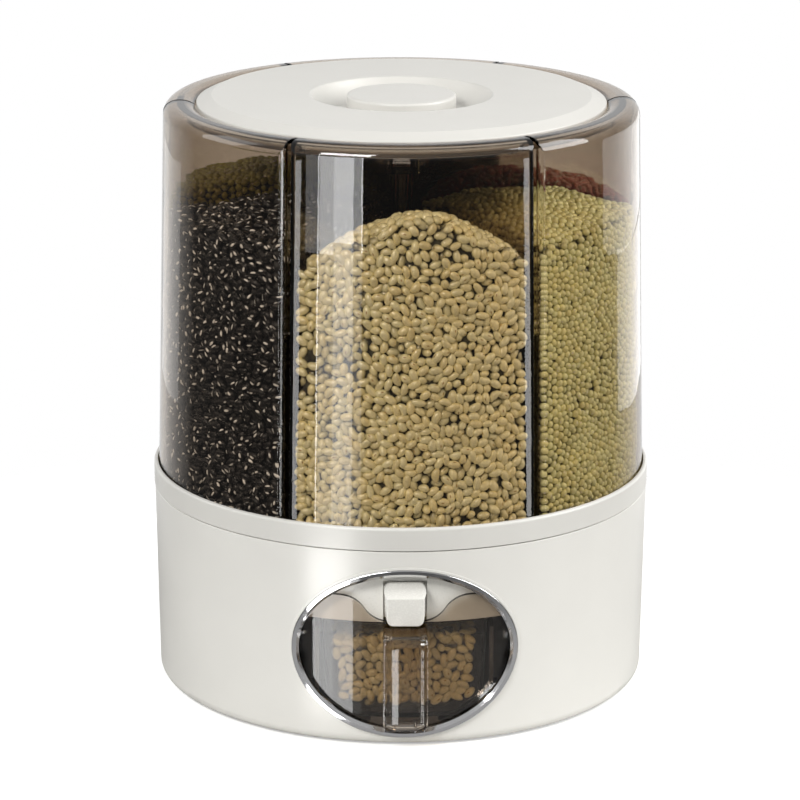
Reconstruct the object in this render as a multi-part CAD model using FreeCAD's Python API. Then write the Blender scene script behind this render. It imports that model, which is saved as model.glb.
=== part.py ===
import FreeCAD, Part
import math
import os

# Rotating grain dispenser: a round base with a measuring cup behind an oval window,
# and a six-bin drum that turns on it. Millimetres and degrees. +Z is up, the window
# faces -Y, and the origin is on the drum's axis at the height of the surface below.

# Driving dimensions: base
FOOT_STAND = 1.0            # rubber feet below the housing
FOOT_R = 9.0
FOOT_RING_INSET = 21.5      # circle of feet inside the floor's edge
FOOT_PEG_R = 2.5
FOOT_COUNT = 6
BASE_H = 112.9              # housing, bottom edge to seam
BASE_TAPER = 1.7            # how much narrower the housing is at its foot
BASE_EDGE_R = 5.6
BASE_WALL = 3.0
FLOOR_INSET = 0.6
FLOOR_T = 3.0
FLOOR_GAP = 0.3
FLOOR_LIP = 3.3
FLOOR_LEDGE_W = 4.5
LEDGE_T = 3.0
DECK_DROP = 1.9             # deck top below the housing's rim
DECK_T = 3.0
DECK_GAP = 0.4
DECK_LEDGE_W = 9.3
SEAM_GAP = 0.7
SCREW_COUNT = 6
SCREW_R = 1.5
SCREW_HEAD_R = 2.8
SCREW_HEAD_T = 1.6
SCREW_SINK = 0.2            # head below the face that it is sunk in
SCREW_BOSS_R = 4.5
SCREW_BOSS_H = 11.0
SCREW_L = 12.0
FLOOR_SCREW_INSET = 1.0
FIT = 0.05                  # radial clearance of a pin, screw or peg in its hole

# Driving dimensions: window and its chrome ring
WINDOW_Z = 54.9             # centre of the oval above the surface below
WINDOW_A = 58.5             # clear half width
WINDOW_B = 44.5             # clear half height
BEZEL_NECK_T = 1.7
BEZEL_NECK_L = 6.5
BEZEL_FACE_W = 4.0
BEZEL_PROUD = 1.5
BEZEL_BEVEL = 1.8
BEZEL_EDGE_R = 0.5
WINDOW_GAP = 0.3
LIP_W = 1.3
LIP_PROUD = 0.6

# Driving dimensions: turntable, its pivot and its ball bearing
RIM_WALL = 2.1
RIM_H = 12.9
RIM_EDGE_R = 1.7
RIM_OVERHANG = 0.4          # turntable's rim outside the housing
TURN_GAP = 0.6              # turntable above deck
PLATE_T = 3.0
PLATE_EDGE_GAP = 0.6
BALL_R = 4.0
BALL_COUNT = 24
RACE_INSET = 22.0           # ball circle inside the outlets
RACE_PLAY = 0.1
RACE_SIDE_GAP = 0.3
RACE_WALL = 3.0
CAGE_T = 2.0
CAGE_W = 15.0
CAGE_GAP = 0.3
PIVOT_R = 7.0
PIVOT_PLAY = 0.06
PIVOT_FLANGE_R = 10.0
PIVOT_FLANGE_T = 2.5
DECK_BOSS_R = 16.0
DECK_BOSS_T = 4.0
HUB_H = 5.9
HUB_PLAY = 0.3              # turntable's hub below the washer
TOWER_R = 15.6
TOWER_WALL = 2.4
TOWER_H = 12.5
WASHER_R = 12.4
WASHER_T = 1.5
PIVOT_SCREW_R = 2.4
PIVOT_SCREW_HEAD_R = 5.0
PIVOT_SCREW_HEAD_T = 3.0
PIVOT_SCREW_L = 15.0
INDEX_DEG = 180.0           # index leaf's direction from the window
INDEX_INSET = 7.0           # index leaf inside the deck's edge
INDEX_W = 7.0
INDEX_T = 0.5
INDEX_L = 46.0
INDEX_RISE = 0.8
INDEX_FOOT_L = 7.0
INDEX_NOSE_R = 1.6
INDEX_POCKET = 1.6
INDEX_GAP = 0.3
NOTCH_W = 7.0
NOTCH_DEPTH = 1.5

# Driving dimensions: drum
BIN_COUNT = 6
DRUM_TURN = 1.8             # the drum's stops lie this far past the middle of the window
BIN_R_FOOT = 140.3
BIN_R_TOP = 134.9
BIN_H = 221.5               # turntable plate to the crest of the rim
BIN_FIT = 0.4
BIN_GAP = 2.2               # between neighbouring bins
BIN_WALL = 2.6
BIN_SIDE_WALL = 2.2
BIN_FLOOR = 2.4
BIN_CORNER_R = 3.6
BIN_INNER_CORNER_R = 1.6
CORE_R = 9.0                # inner end of each bin
CONE_INSET = 4.0            # outer end of the sloping floor inside the outlet
CONE_SLOPE = 28.0
CREST_R = 8.0               # outer rounding of the rim
CREST_WALL = 2.6
LIP_DROP = 2.2              # rim's inner edge below its crest
LIP_INSET = 17.7            # rim's inner edge inside the bins' top
LIP_WALL = 2.4
LIP_SAG = 0.9               # how far the rim's inner slope bows outward
LEDGE_DROP = 6.8            # lid's ledge below the crest
LEDGE_W = 3.7
BIN_LEDGE_T = 2.0
WALL_DROP = 11.6            # top of the side walls below the crest
CORE_DROP = 40.4            # top of the inner corners below the crest
POST_R = 3.75
POST_FOOT_T = 3.0
POST_SPIGOT_H = 6.0
POST_SCREWED = 2.0
CAP_R = 17.0
CAP_T = 4.0
CAP_GAP = 0.3
CAP_SIDE_GAP = 0.5
CAP_EDGE_R = 1.5

# Driving dimensions: outlet, from the bins down to the cup
OUTLET_INSET = 32.3         # outlet's outer end inside the bins' foot
OUTLET_L = 22.0
OUTLET_HALF_DEG = 14.5
COLLAR_T = 1.6
COLLAR_GAP = 0.4
COLLAR_LIFT = 0.2
DECK_HOLE_MARGIN = 1.0
DECK_HOLE_EXTRA_DEG = 2.0
GASKET_W = 3.0
GASKET_DEPTH = 0.8
GASKET_GAP = 0.3
CHUTE_T = 3.0
CHUTE_SIDE_GAP = 2.6        # beside the bosses of the deck's screws
CHUTE_BACK_MARGIN = 4.5     # flange behind the throat
FASCIA_INSET = 8.4          # hood's curved front behind the housing's rim
FASCIA_T = 2.5
FASCIA_GAP = 0.6
FASCIA_LOW_Z = 71.0
THROAT_HALF_W = 32.0
THROAT_MARGIN = 0.9         # in front of the deck's hole
THROAT_RUN_BACK = 8.5       # behind the outlet, for the gate's hinge
THROAT_WALL = 2.0
THROAT_LOW_Z = 76.0
CHUTE_SCREW_INSET = 10.0    # from the flange's side
CHUTE_SCREW_SETBACK = 3.9   # behind the throat's front
CHUTE_SCREW_STEP = 15.0
CHUTE_SCREW_BITE = 1.8      # length of the screw in the deck

# Driving dimensions: gate and push button
BUTTON_TRAVEL = 8.5
GATE_T = 1.5
PAD_T = 1.0
GATE_GAP = 0.3
GATE_SIDE_GAP = 0.4
GATE_TIP_GAP = 0.5
GATE_PIN_R = 1.5
GATE_PIN_PLAY = 0.08
GATE_PIN_SETBACK = 3.5      # in front of the throat's back
GATE_KNUCKLE_R = 3.0
KNUCKLE_DROP = 0.5
CRANK_T = 3.0
CRANK_SIDE_GAP = 0.6
CRANK_HUB_R = 3.4
CRANK_ARM_W = 2.4
CRANK_L = 12.0
CRANK_NOSE_R = 3.0
CRANK_SLOT_GAP = 0.3
PIN_END = 3.0
YOKE_T = 3.6
YOKE_LOW_Z = 88.0
YOKE_TOP_Z = 97.4
YOKE_CLEAR = 0.6            # pressed yoke in front of the throat
YOKE_GAP = 0.3
GUIDE_T = 2.2
GUIDE_W = 3.6
GUIDE_GAP = 0.4
GUIDE_SETBACK = 1.9         # behind the throat's front
GUIDE_L = 16.0
SPRING_R = 3.0
SPRING_WIRE = 0.8
SPRING_GAP = 0.4
SPRING_LUG_INSET = 5.3      # from the flange's side
SPRING_LUG_T = 2.4
SPRING_LUG_W = 8.0
SPRING_LUG_H = 5.0
BUTTON_HALF_W = 11.6
BUTTON_FACE_HALF_W = 10.2
BUTTON_PROUD = 4.6          # face in front of the housing's rim
BUTTON_LOW_Z = 72.7
BUTTON_FACE_H = 15.8
BUTTON_H = 21.6
BUTTON_SLOPE_L = 11.5
BUTTON_EDGE_R = 1.8
BUTTON_WALL = 2.0
BUTTON_HOLE_GAP = 0.4
BUTTON_FLANGE_W = 3.2
BUTTON_FLANGE_T = 2.2
BUTTON_FLANGE_GAP = 0.5
STEM_GAP = 0.4
STEM_TOP_Z = 88.0
STEM_L = 12.0

# Driving dimensions: measuring cup and its tray
CUP_PLATE_INSET = 4.4       # plate's front behind the housing's rim
CUP_PLATE_T = 2.8
CUP_PLATE_GAP = 0.4
CUP_DIP_Z = 72.2            # plate's top edge below the button
CUP_DIP_X = 9.0
CUP_HUMP_Z = 86.4
CUP_HUMP_X = 35.5
CUP_HALF_TOP = 45.3
CUP_HALF_LOW = 43.0
CUP_HALF_FLOOR = 27.0
CUP_TOP_Z = 70.6
CUP_CORNER_H = 9.5
CUP_FLOOR_Z = 16.0
CUP_DEPTH = 88.0            # cup's back behind the plate's front
CUP_WALL = 2.2
HANDLE_HALF_W = 12.2
HANDLE_OUT = 20.0           # handle's face in front of the cup's plate
HANDLE_LOW_Z = 12.8
HANDLE_TOP_Z = 69.4
HANDLE_T = 3.0
HANDLE_BEND_R = 7.0
HANDLE_EDGE_R = 1.1
TRAY_T = 2.2
TRAY_GAP = 0.4
TRAY_SIDE_GAP = 1.8
TRAY_WALL_T = 2.2
TRAY_WALL_TOP_Z = 62.0
TRAY_SETBACK = 23.0         # tray's walls behind the plate's front
TRAY_BOSS_GAP = 3.6         # tray's flange beside the floor's screw bosses
TRAY_STOP_H = 30.0
TRAY_STOP_GAP = 1.0
RAIL_HALF_W = 18.6
RAIL_GAP = 0.3
RAIL_END_GAP = 4.2          # rail behind the cup's plate

# Driving dimensions: lid
LID_SIDE_GAP = 1.2          # lid's edge inside the drum's rim
LID_PROUD = 2.9             # lid's flat above the drum's crest
LID_BEVEL_W = 8.5
LID_EDGE_DROP = 3.6
LID_EDGE_R = 0.8
LID_SHELL_T = 2.4
LID_SIDE_H = 3.8
LID_SKIRT_GAP = 1.5         # skirt inside the bins' ledge
LID_SKIRT_T = 2.4
LID_SKIRT_H = 6.2
DISH_R = 51.4
DISH_FLOOR_R = 40.0
DISH_DEPTH = 10.5
DISH_SAG = 1.6              # how far the dish's wall bows outward
DISH_EDGE_R = 1.2
KNOB_R = 31.0
KNOB_EDGE_R = 1.6
KNOB_WALL = 2.2
KNOB_BOSS_R = 5.0
KNOB_SCREW_R = 1.9
KNOB_SCREW_HEAD_R = 4.0
KNOB_SCREW_HEAD_T = 2.0
KNOB_SCREW_BITE = 6.0
SEAL_GAP = 0.3
SEAL_SIDE_GAP = 0.6

V = FreeCAD.Vector
ORIGIN = V(0, 0, 0)
X_AXIS = V(1, 0, 0)
Y_AXIS = V(0, 1, 0)
UP = V(0, 0, 1)
FAR = 2 * BIN_R_FOOT        # length of tools that cut right through

# Heights that follow from the sizes above
HOUSING_Z0 = FOOT_STAND
HOUSING_Z1 = HOUSING_Z0 + BASE_H
FLOOR_Z0 = HOUSING_Z0 + FLOOR_INSET
FLOOR_Z1 = FLOOR_Z0 + FLOOR_T
LEDGE_Z1 = FLOOR_Z1 + LEDGE_T
DECK_Z1 = HOUSING_Z1 - DECK_DROP
DECK_Z0 = DECK_Z1 - DECK_T
DECK_LEDGE_Z0 = DECK_Z0 - LEDGE_T
CHUTE_Z0 = DECK_Z0 - CHUTE_T
PLATE_Z0 = DECK_Z1 + TURN_GAP
PLATE_Z1 = PLATE_Z0 + PLATE_T
RIM_Z0 = HOUSING_Z1 + SEAM_GAP
RIM_Z1 = RIM_Z0 + RIM_H
BALL_Z = (DECK_Z1 + PLATE_Z0) / 2
RACE_Z0 = BALL_Z - BALL_R - RACE_PLAY
RACE_Z1 = BALL_Z + BALL_R + RACE_PLAY
CAGE_Z0 = BALL_Z - CAGE_T / 2
CAGE_Z1 = BALL_Z + CAGE_T / 2
PIVOT_Z0 = DECK_Z0 - DECK_BOSS_T
HUB_Z1 = PLATE_Z1 + HUB_H
PIVOT_Z1 = HUB_Z1 + HUB_PLAY
TOWER_Z1 = HUB_Z1 + TOWER_H
CREST_Z = PLATE_Z1 + BIN_H
SHOULDER_Z = CREST_Z - CREST_R
LIP_Z = CREST_Z - LIP_DROP
BIN_LEDGE_Z = CREST_Z - LEDGE_DROP
WALL_TOP_Z = CREST_Z - WALL_DROP
CORE_TOP_Z = CREST_Z - CORE_DROP
CAP_Z0 = CORE_TOP_Z + CAP_GAP
LID_Z1 = CREST_Z + LID_PROUD
LID_EDGE_Z = LID_Z1 - LID_EDGE_DROP
LID_SIDE_Z0 = LID_EDGE_Z - LID_SIDE_H
DISH_Z = LID_Z1 - DISH_DEPTH
GATE_TOP_Z = DECK_Z0 - GATE_GAP
GATE_Z1 = GATE_TOP_Z - PAD_T
GATE_PIN_Z = GATE_TOP_Z - KNUCKLE_DROP - GATE_KNUCKLE_R
CRANK_NOSE_Z = GATE_PIN_Z - CRANK_L
RAIL_Z1 = CUP_FLOOR_Z - RAIL_GAP

# Radii and places that follow from the sizes above
RIM_R_IN = BIN_R_FOOT + BIN_FIT
RIM_R = RIM_R_IN + RIM_WALL
HOUSING_R_TOP = RIM_R - RIM_OVERHANG
HOUSING_R_FOOT = HOUSING_R_TOP - BASE_TAPER
FLOOR_LIP_R = HOUSING_R_FOOT - BASE_EDGE_R - FLOOR_LIP
FLOOR_R = FLOOR_LIP_R - FLOOR_GAP
FOOT_RING_R = FLOOR_R - FOOT_RING_INSET
FLOOR_LEDGE_R = FLOOR_R - FLOOR_LEDGE_W
DECK_R = HOUSING_R_TOP - BASE_WALL - DECK_GAP
DECK_LEDGE_R = DECK_R - DECK_LEDGE_W
DECK_SCREW_R = DECK_LEDGE_R + SCREW_BOSS_R
FLOOR_SCREW_R = FLOOR_LEDGE_R - FLOOR_SCREW_INSET
PLATE_R = HOUSING_R_TOP - BASE_WALL - PLATE_EDGE_GAP
INDEX_R = DECK_R - INDEX_INSET
LIP_R = BIN_R_TOP - LIP_INSET
LEDGE_R = LIP_R - LEDGE_W
LID_R = LIP_R - LID_SIDE_GAP
LID_FLAT_R = LID_R - LID_BEVEL_W
LID_SKIRT_R = LEDGE_R - LID_SKIRT_GAP
OUTLET_R_OUT = BIN_R_FOOT - OUTLET_INSET
OUTLET_R_IN = OUTLET_R_OUT - OUTLET_L
CONE_R = OUTLET_R_IN - CONE_INSET
RACE_R = OUTLET_R_IN - RACE_INSET
RACE_HALF_W = BALL_R + RACE_SIDE_GAP
FASCIA_R = HOUSING_R_TOP - FASCIA_INSET
THROAT_FRONT = OUTLET_R_OUT + DECK_HOLE_MARGIN + THROAT_MARGIN
THROAT_BACK = OUTLET_R_IN - THROAT_RUN_BACK
CHUTE_BACK = THROAT_BACK - CHUTE_BACK_MARGIN
BOSS_TURN = math.pi / SCREW_COUNT
CHUTE_HALF_W = DECK_SCREW_R * math.sin(BOSS_TURN) - SCREW_BOSS_R - CHUTE_SIDE_GAP
CHUTE_SCREW_X = CHUTE_HALF_W - CHUTE_SCREW_INSET
CHUTE_SCREW_Y = CHUTE_SCREW_SETBACK - THROAT_FRONT
GUIDE_FROM = THROAT_FRONT - GUIDE_SETBACK
GATE_HALF_W = THROAT_HALF_W - GATE_SIDE_GAP
GATE_TIP_Y = GATE_TIP_GAP - THROAT_FRONT
GATE_PIN_Y = -THROAT_BACK - GATE_PIN_SETBACK
CRANK_X = THROAT_HALF_W + THROAT_WALL + CRANK_SIDE_GAP
YOKE_FRONT = THROAT_FRONT + THROAT_WALL + YOKE_CLEAR + BUTTON_TRAVEL + YOKE_T
SPRING_X = CRANK_X + CRANK_T + CRANK_SLOT_GAP + SPRING_GAP
SPRING_LUG_X = CHUTE_HALF_W - SPRING_LUG_INSET
SPRING_L = SPRING_LUG_X - SPRING_GAP - SPRING_X
BUTTON_FRONT = HOUSING_R_TOP + BUTTON_PROUD
BUTTON_FLANGE_R = FASCIA_R - FASCIA_T - BUTTON_FLANGE_GAP
BUTTON_BACK = BUTTON_FLANGE_R - BUTTON_FLANGE_T
CUP_PLATE_R = HOUSING_R_TOP - CUP_PLATE_INSET
CUP_PLATE_R_IN = CUP_PLATE_R - CUP_PLATE_T
CUP_BACK = CUP_PLATE_R - CUP_DEPTH
TRAY_WALL_X = CUP_HALF_TOP + TRAY_SIDE_GAP
TRAY_WALL_FRONT = CUP_PLATE_R - TRAY_SETBACK
TRAY_HALF_W = FLOOR_SCREW_R * math.sin(BOSS_TURN) - SCREW_BOSS_R - TRAY_BOSS_GAP
RAIL_FRONT = CUP_PLATE_R_IN - RAIL_END_GAP
SHARE = 360.0 / BIN_COUNT
HALF_SHARE = math.radians(SHARE / 2)


def turned(shape, degrees):
    """Copy of a shape turned about the drum's axis."""
    copy = shape.copy()
    copy.rotate(ORIGIN, UP, degrees)
    return copy


def around(shape, count, start=0.0):
    """The same shape repeated at even steps about the axis."""
    return [turned(shape, start + 360.0 * i / count) for i in range(count)]


def disc(radius, z0, z1, x=0.0, y=0.0):
    return Part.makeCylinder(radius, z1 - z0, V(x, y, z0))


def ring(r_in, r_out, z0, z1, x=0.0, y=0.0):
    return disc(r_out, z0, z1, x, y).cut(disc(r_in, z0, z1, x, y))


def rod(radius, x0, x1, y, z):
    """Round bar along X."""
    return Part.makeCylinder(radius, x1 - x0, V(x0, y, z), X_AXIS)


def box(x0, x1, y0, y1, z0, z1):
    return Part.makeBox(x1 - x0, y1 - y0, z1 - z0, V(x0, y0, z0))


def fused(shapes):
    """One solid from several that touch or overlap."""
    return shapes[0].multiFuse(shapes[1:]).removeSplitter()


def both_sides(shape):
    """A shape and its mirror image on the other side of the window's middle."""
    return [shape, shape.mirror(ORIGIN, X_AXIS)]


def arc(centre, radius, from_deg, to_deg):
    """Step for outline: an arc about a centre, between two directions."""
    middle = math.radians((from_deg + to_deg) / 2)
    end = math.radians(to_deg)
    return (centre[0] + radius * math.cos(middle), centre[1] + radius * math.sin(middle),
            centre[0] + radius * math.cos(end), centre[1] + radius * math.sin(end))


def bow(start, end, sag):
    """Step for outline: an arc that bows to the left of the way from start to end."""
    run = math.hypot(end[0] - start[0], end[1] - start[1])
    return ((start[0] + end[0]) / 2 - sag * (end[1] - start[1]) / run,
            (start[1] + end[1]) / 2 + sag * (end[0] - start[0]) / run, end[0], end[1])


def outline(place, start, *steps):
    """Closed face. Each step is a line's end, or an arc's middle and end."""
    edges = []
    here = place(*start)
    for step in list(steps) + [start]:
        there = place(*step[-2:])
        if len(step) == 4:
            edges.append(Part.Arc(here, place(*step[:2]), there).toShape())
        elif here.distanceToPoint(there) > FIT / 1000:
            edges.append(Part.makeLine(here, there))
        here = there
    return Part.Face(Part.Wire(edges))


def lathe(start, *steps):
    """Solid of revolution about the drum's axis, from an outline of radii and heights."""
    face = outline(lambda r, z: V(r, 0, z), start, *steps)
    return face.revolve(ORIGIN, UP, 360)


def along_y(y0, y1, start, *steps):
    """Prism along Y, from an outline in X and Z."""
    face = outline(lambda x, z: V(x, y0, z), start, *steps)
    return face.extrude(V(0, y1 - y0, 0))


def along_x(x0, x1, start, *steps):
    """Prism along X, from an outline in Y and Z."""
    face = outline(lambda y, z: V(x0, y, z), start, *steps)
    return face.extrude(V(x1 - x0, 0, 0))


def ring_edges(shape, radius, height):
    """Round edges about the axis with this radius at this height."""
    found = []
    for edge in shape.Edges:
        curve = edge.Curve
        if isinstance(curve, Part.Circle) and abs(curve.Radius - radius) < FIT:
            if curve.Center.distanceToPoint(V(0, 0, height)) < FIT:
                found.append(edge)
    return found


def sector(r_in, r_out, half_deg, z0, z1):
    """Piece of a ring, with its middle towards the window."""
    outer = Part.makeCylinder(r_out, z1 - z0, V(0, 0, z0), UP, 2 * half_deg)
    return turned(outer.cut(disc(r_in, z0, z1)), -90 - half_deg)


def polar(radius, degrees):
    """Point at an angle from the window's direction, seen from above."""
    turn = math.radians(degrees - 90)
    return radius * math.cos(turn), radius * math.sin(turn)


def oval(half_w, half_h, y0=-FAR, y1=0.0):
    """Elliptical prism through the window, along Y."""
    middle = V(0, y0, WINDOW_Z)
    curve = Part.Ellipse(middle + V(half_w, 0, 0), middle + V(0, 0, half_h), middle)
    return Part.Face(Part.Wire(curve.toShape())).extrude(V(0, y1 - y0, 0))


def oval_ring(margin_in, margin_out):
    """Elliptical tube round the window's clear opening."""
    outer = oval(WINDOW_A + margin_out, WINDOW_B + margin_out)
    return outer.cut(oval(WINDOW_A + margin_in, WINDOW_B + margin_in))


def housing_r(z, off=0.0):
    """Outer radius of the tapered housing at a height, moved out by off."""
    low = HOUSING_Z0 + BASE_EDGE_R
    return HOUSING_R_FOOT + (HOUSING_R_TOP - HOUSING_R_FOOT) * (z - low) / (HOUSING_Z1 - low) + off


def housing_cone(off):
    """Solid inside the housing's tapered face, moved out by off."""
    return lathe((0, HOUSING_Z0), (housing_r(HOUSING_Z0, off), HOUSING_Z0),
                 (housing_r(HOUSING_Z1, off), HOUSING_Z1), (0, HOUSING_Z1))


def screw(x, y, z_head, length, radius, head_r, head_t):
    """Pan-head screw that points up, its head below z_head."""
    head = disc(head_r, z_head - head_t, z_head, x, y)
    head = head.makeFillet(head_t / 3, [e for e in head.Edges if e.BoundBox.ZMax < z_head - head_t / 2])
    return fused([head, disc(radius, z_head, z_head + length, x, y)])


def screw_spots(radius):
    """Places of the housing's screws on a circle, half a step beside the window's direction."""
    return [polar(radius, 360.0 * (i + 0.5) / SCREW_COUNT) for i in range(SCREW_COUNT)]


def foot_spots():
    """The centre foot and the feet on a circle."""
    return [(0.0, 0.0)] + [polar(FOOT_RING_R, 360.0 * i / FOOT_COUNT) for i in range(FOOT_COUNT)]


def chute_screw_spots():
    return [(x, y) for x in (-CHUTE_SCREW_X, CHUTE_SCREW_X)
            for y in (CHUTE_SCREW_Y, CHUTE_SCREW_Y + CHUTE_SCREW_STEP)]


def base_housing():
    """White outer shell: a tapered wall with ledges for floor and deck, and the window."""
    edge = (HOUSING_R_FOOT - BASE_EDGE_R, HOUSING_Z0 + BASE_EDGE_R)
    wall_r = lambda z: housing_r(z, -BASE_WALL)
    shell = lathe((FLOOR_LIP_R, HOUSING_Z0), (edge[0], HOUSING_Z0), arc(edge, BASE_EDGE_R, -90, 0),
                  (HOUSING_R_TOP, HOUSING_Z1), (wall_r(HOUSING_Z1), HOUSING_Z1),
                  (wall_r(DECK_Z0), DECK_Z0), (DECK_LEDGE_R, DECK_Z0),
                  (DECK_LEDGE_R, DECK_LEDGE_Z0), (wall_r(DECK_LEDGE_Z0), DECK_LEDGE_Z0),
                  (wall_r(LEDGE_Z1), LEDGE_Z1), (FLOOR_LEDGE_R, LEDGE_Z1),
                  (FLOOR_LEDGE_R, FLOOR_Z1), (FLOOR_LIP_R, FLOOR_Z1))
    shell = shell.makeFillet(LIP_PROUD, ring_edges(shell, HOUSING_R_TOP, HOUSING_Z1))
    hood_x = CHUTE_HALF_W + FASCIA_GAP
    hood = disc(FASCIA_R + FASCIA_GAP, DECK_LEDGE_Z0, DECK_Z0)
    shell = shell.cut(hood.common(box(-hood_x, hood_x, -FAR, 0, DECK_LEDGE_Z0, DECK_Z0)))
    lip_margin = BEZEL_FACE_W + WINDOW_GAP
    lip = oval_ring(lip_margin, lip_margin + LIP_W)
    lip = lip.common(housing_cone(LIP_PROUD)).cut(housing_cone(-BASE_WALL / 2))
    bosses = []
    pilots = []
    for x, y in screw_spots(DECK_SCREW_R):
        bosses.append(disc(SCREW_BOSS_R, DECK_LEDGE_Z0 - SCREW_BOSS_H, DECK_Z0, x, y))
        pilots.append(disc(SCREW_R + FIT, DECK_Z0 - SCREW_L, DECK_Z0, x, y))
    for x, y in screw_spots(FLOOR_SCREW_R):
        bosses.append(disc(SCREW_BOSS_R, FLOOR_Z1, LEDGE_Z1 + SCREW_BOSS_H, x, y))
        pilots.append(disc(SCREW_R + FIT, FLOOR_Z1, FLOOR_Z1 + SCREW_L, x, y))
    hole_margin = BEZEL_NECK_T + WINDOW_GAP
    hole = oval(WINDOW_A + hole_margin, WINDOW_B + hole_margin)
    return fused([shell, lip] + bosses).cut(pilots + [hole])


def base_floor():
    """Bottom plate with holes for the feet's pegs and for its screws."""
    cuts = [disc(FOOT_PEG_R + FIT, FLOOR_Z0, FLOOR_Z1, x, y) for x, y in foot_spots()]
    for x, y in screw_spots(FLOOR_SCREW_R):
        cuts.append(disc(SCREW_R + FIT, FLOOR_Z0, FLOOR_Z1, x, y))
        cuts.append(disc(SCREW_HEAD_R + FIT, FLOOR_Z0, FLOOR_Z0 + SCREW_HEAD_T + SCREW_SINK, x, y))
    return disc(FLOOR_R, FLOOR_Z0, FLOOR_Z1).cut(cuts)


def rubber_feet():
    """Rubber feet, each a disc with a peg in the floor."""
    feet = []
    for x, y in foot_spots():
        pad = disc(FOOT_R, 0, FLOOR_Z0, x, y)
        pad = pad.makeFillet(FOOT_STAND / 3, [e for e in pad.Edges if e.BoundBox.ZMax < FOOT_STAND / 2])
        feet.append(fused([pad, disc(FOOT_PEG_R, FLOOR_Z0, FLOOR_Z1 - FLOOR_GAP, x, y)]))
    return Part.makeCompound(feet)


def floor_screws():
    """Screws that hold the floor up, with their heads sunk in it."""
    seat_z = FLOOR_Z0 + SCREW_HEAD_T + SCREW_SINK
    length = FLOOR_Z1 - seat_z + SCREW_L - FLOOR_GAP
    return Part.makeCompound([screw(x, y, seat_z, length, SCREW_R, SCREW_HEAD_R, SCREW_HEAD_T)
                              for x, y in screw_spots(FLOOR_SCREW_R)])


def deck_screws():
    """Screws that hold the deck down, with their heads sunk in it."""
    seat_z = DECK_Z1 - SCREW_HEAD_T - SCREW_SINK
    length = seat_z - DECK_Z0 + SCREW_L - FLOOR_GAP
    screws = []
    for x, y in screw_spots(DECK_SCREW_R):
        one = screw(x, y, 0, length, SCREW_R, SCREW_HEAD_R, SCREW_HEAD_T)
        one.rotate(V(x, y, 0), X_AXIS, 180)
        one.translate(V(0, 0, seat_z))
        screws.append(one)
    return Part.makeCompound(screws)


def window_bezel():
    """Chrome ring round the window: a neck through the wall and a bevelled face on it."""
    face_r = housing_r(WINDOW_Z, BEZEL_PROUD)
    envelope = disc(face_r, HOUSING_Z0, HOUSING_Z1)
    face = oval_ring(0, BEZEL_FACE_W).common(envelope).cut(housing_cone(0))
    neck = oval_ring(0, BEZEL_NECK_T).common(envelope).cut(disc(face_r - BEZEL_NECK_L, 0, HOUSING_Z1))
    bezel = fused([face, neck])
    bezel = bezel.makeFillet(BEZEL_EDGE_R, oval_edges(bezel, face_r, BEZEL_FACE_W))
    return bezel.makeChamfer(BEZEL_BEVEL, oval_edges(bezel, face_r, 0))


def oval_edges(shape, radius, margin):
    """Edges where a cylinder about the axis meets the oval at this margin."""
    found = []
    for edge in shape.Edges:
        spots = edge.discretize(5)
        if all(abs(math.hypot(p.x, p.y) - radius) < FIT for p in spots):
            levels = [math.hypot(p.x / (WINDOW_A + margin), (p.z - WINDOW_Z) / (WINDOW_B + margin))
                      for p in spots]
            if all(abs(level - 1) * WINDOW_B < FIT for level in levels):
                found.append(edge)
    return found


def outlet_hole(margin, z0, z1, extra_deg=0.0):
    """Sector-shaped tool for the outlet, wider by a margin all round."""
    middle_r = (OUTLET_R_IN + OUTLET_R_OUT) / 2
    half_deg = OUTLET_HALF_DEG + extra_deg + math.degrees(margin / middle_r)
    return sector(OUTLET_R_IN - margin, OUTLET_R_OUT + margin, half_deg, z0, z1)


def deck_opening(margin, z0, z1):
    """Tool for the deck's hole, which reaches past a bin's outlet on every side."""
    return outlet_hole(DECK_HOLE_MARGIN + margin, z0, z1, DECK_HOLE_EXTRA_DEG)


def index_pocket(gap, z0, z1):
    """Straight block across the index leaf's place, opposite the window."""
    half_w = INDEX_W / 2 + gap
    half_l = INDEX_L / 2 + gap
    pocket = box(-half_l, half_l, -INDEX_R - half_w, -INDEX_R + half_w, z0, z1)
    return turned(pocket, INDEX_DEG + DRUM_TURN)


def base_deck():
    """Fixed plate under the turntable, with the one hole that grain falls through."""
    race_in = RACE_R - RACE_HALF_W
    race_out = RACE_R + RACE_HALF_W
    cage_half = CAGE_W / 2 + CAGE_GAP
    plate = fused([disc(DECK_R, DECK_Z0, DECK_Z1), disc(DECK_BOSS_R, PIVOT_Z0, DECK_Z0),
                   ring(race_in - RACE_WALL, race_out + RACE_WALL, RACE_Z0 - RACE_WALL, DECK_Z0)])
    cuts = [disc(PIVOT_R + FIT, PIVOT_Z0, DECK_Z1),
            ring(race_in, race_out, RACE_Z0, DECK_Z1),
            ring(RACE_R - cage_half, RACE_R + cage_half, CAGE_Z0 - CAGE_GAP, DECK_Z1),
            deck_opening(0, DECK_Z0, DECK_Z1),
            deck_opening(GASKET_W + FIT, DECK_Z1 - GASKET_DEPTH, DECK_Z1),
            index_pocket(INDEX_GAP, DECK_Z1 - INDEX_POCKET, DECK_Z1)]
    for x, y in screw_spots(DECK_SCREW_R):
        cuts.append(disc(SCREW_R + FIT, DECK_Z0, DECK_Z1, x, y))
        cuts.append(disc(SCREW_HEAD_R + FIT, DECK_Z1 - SCREW_HEAD_T - SCREW_SINK, DECK_Z1, x, y))
    for x, y in chute_screw_spots():
        cuts.append(disc(SCREW_R + FIT, DECK_Z0, DECK_Z0 + CHUTE_SCREW_BITE, x, y))
    return plate.cut(cuts)


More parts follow.
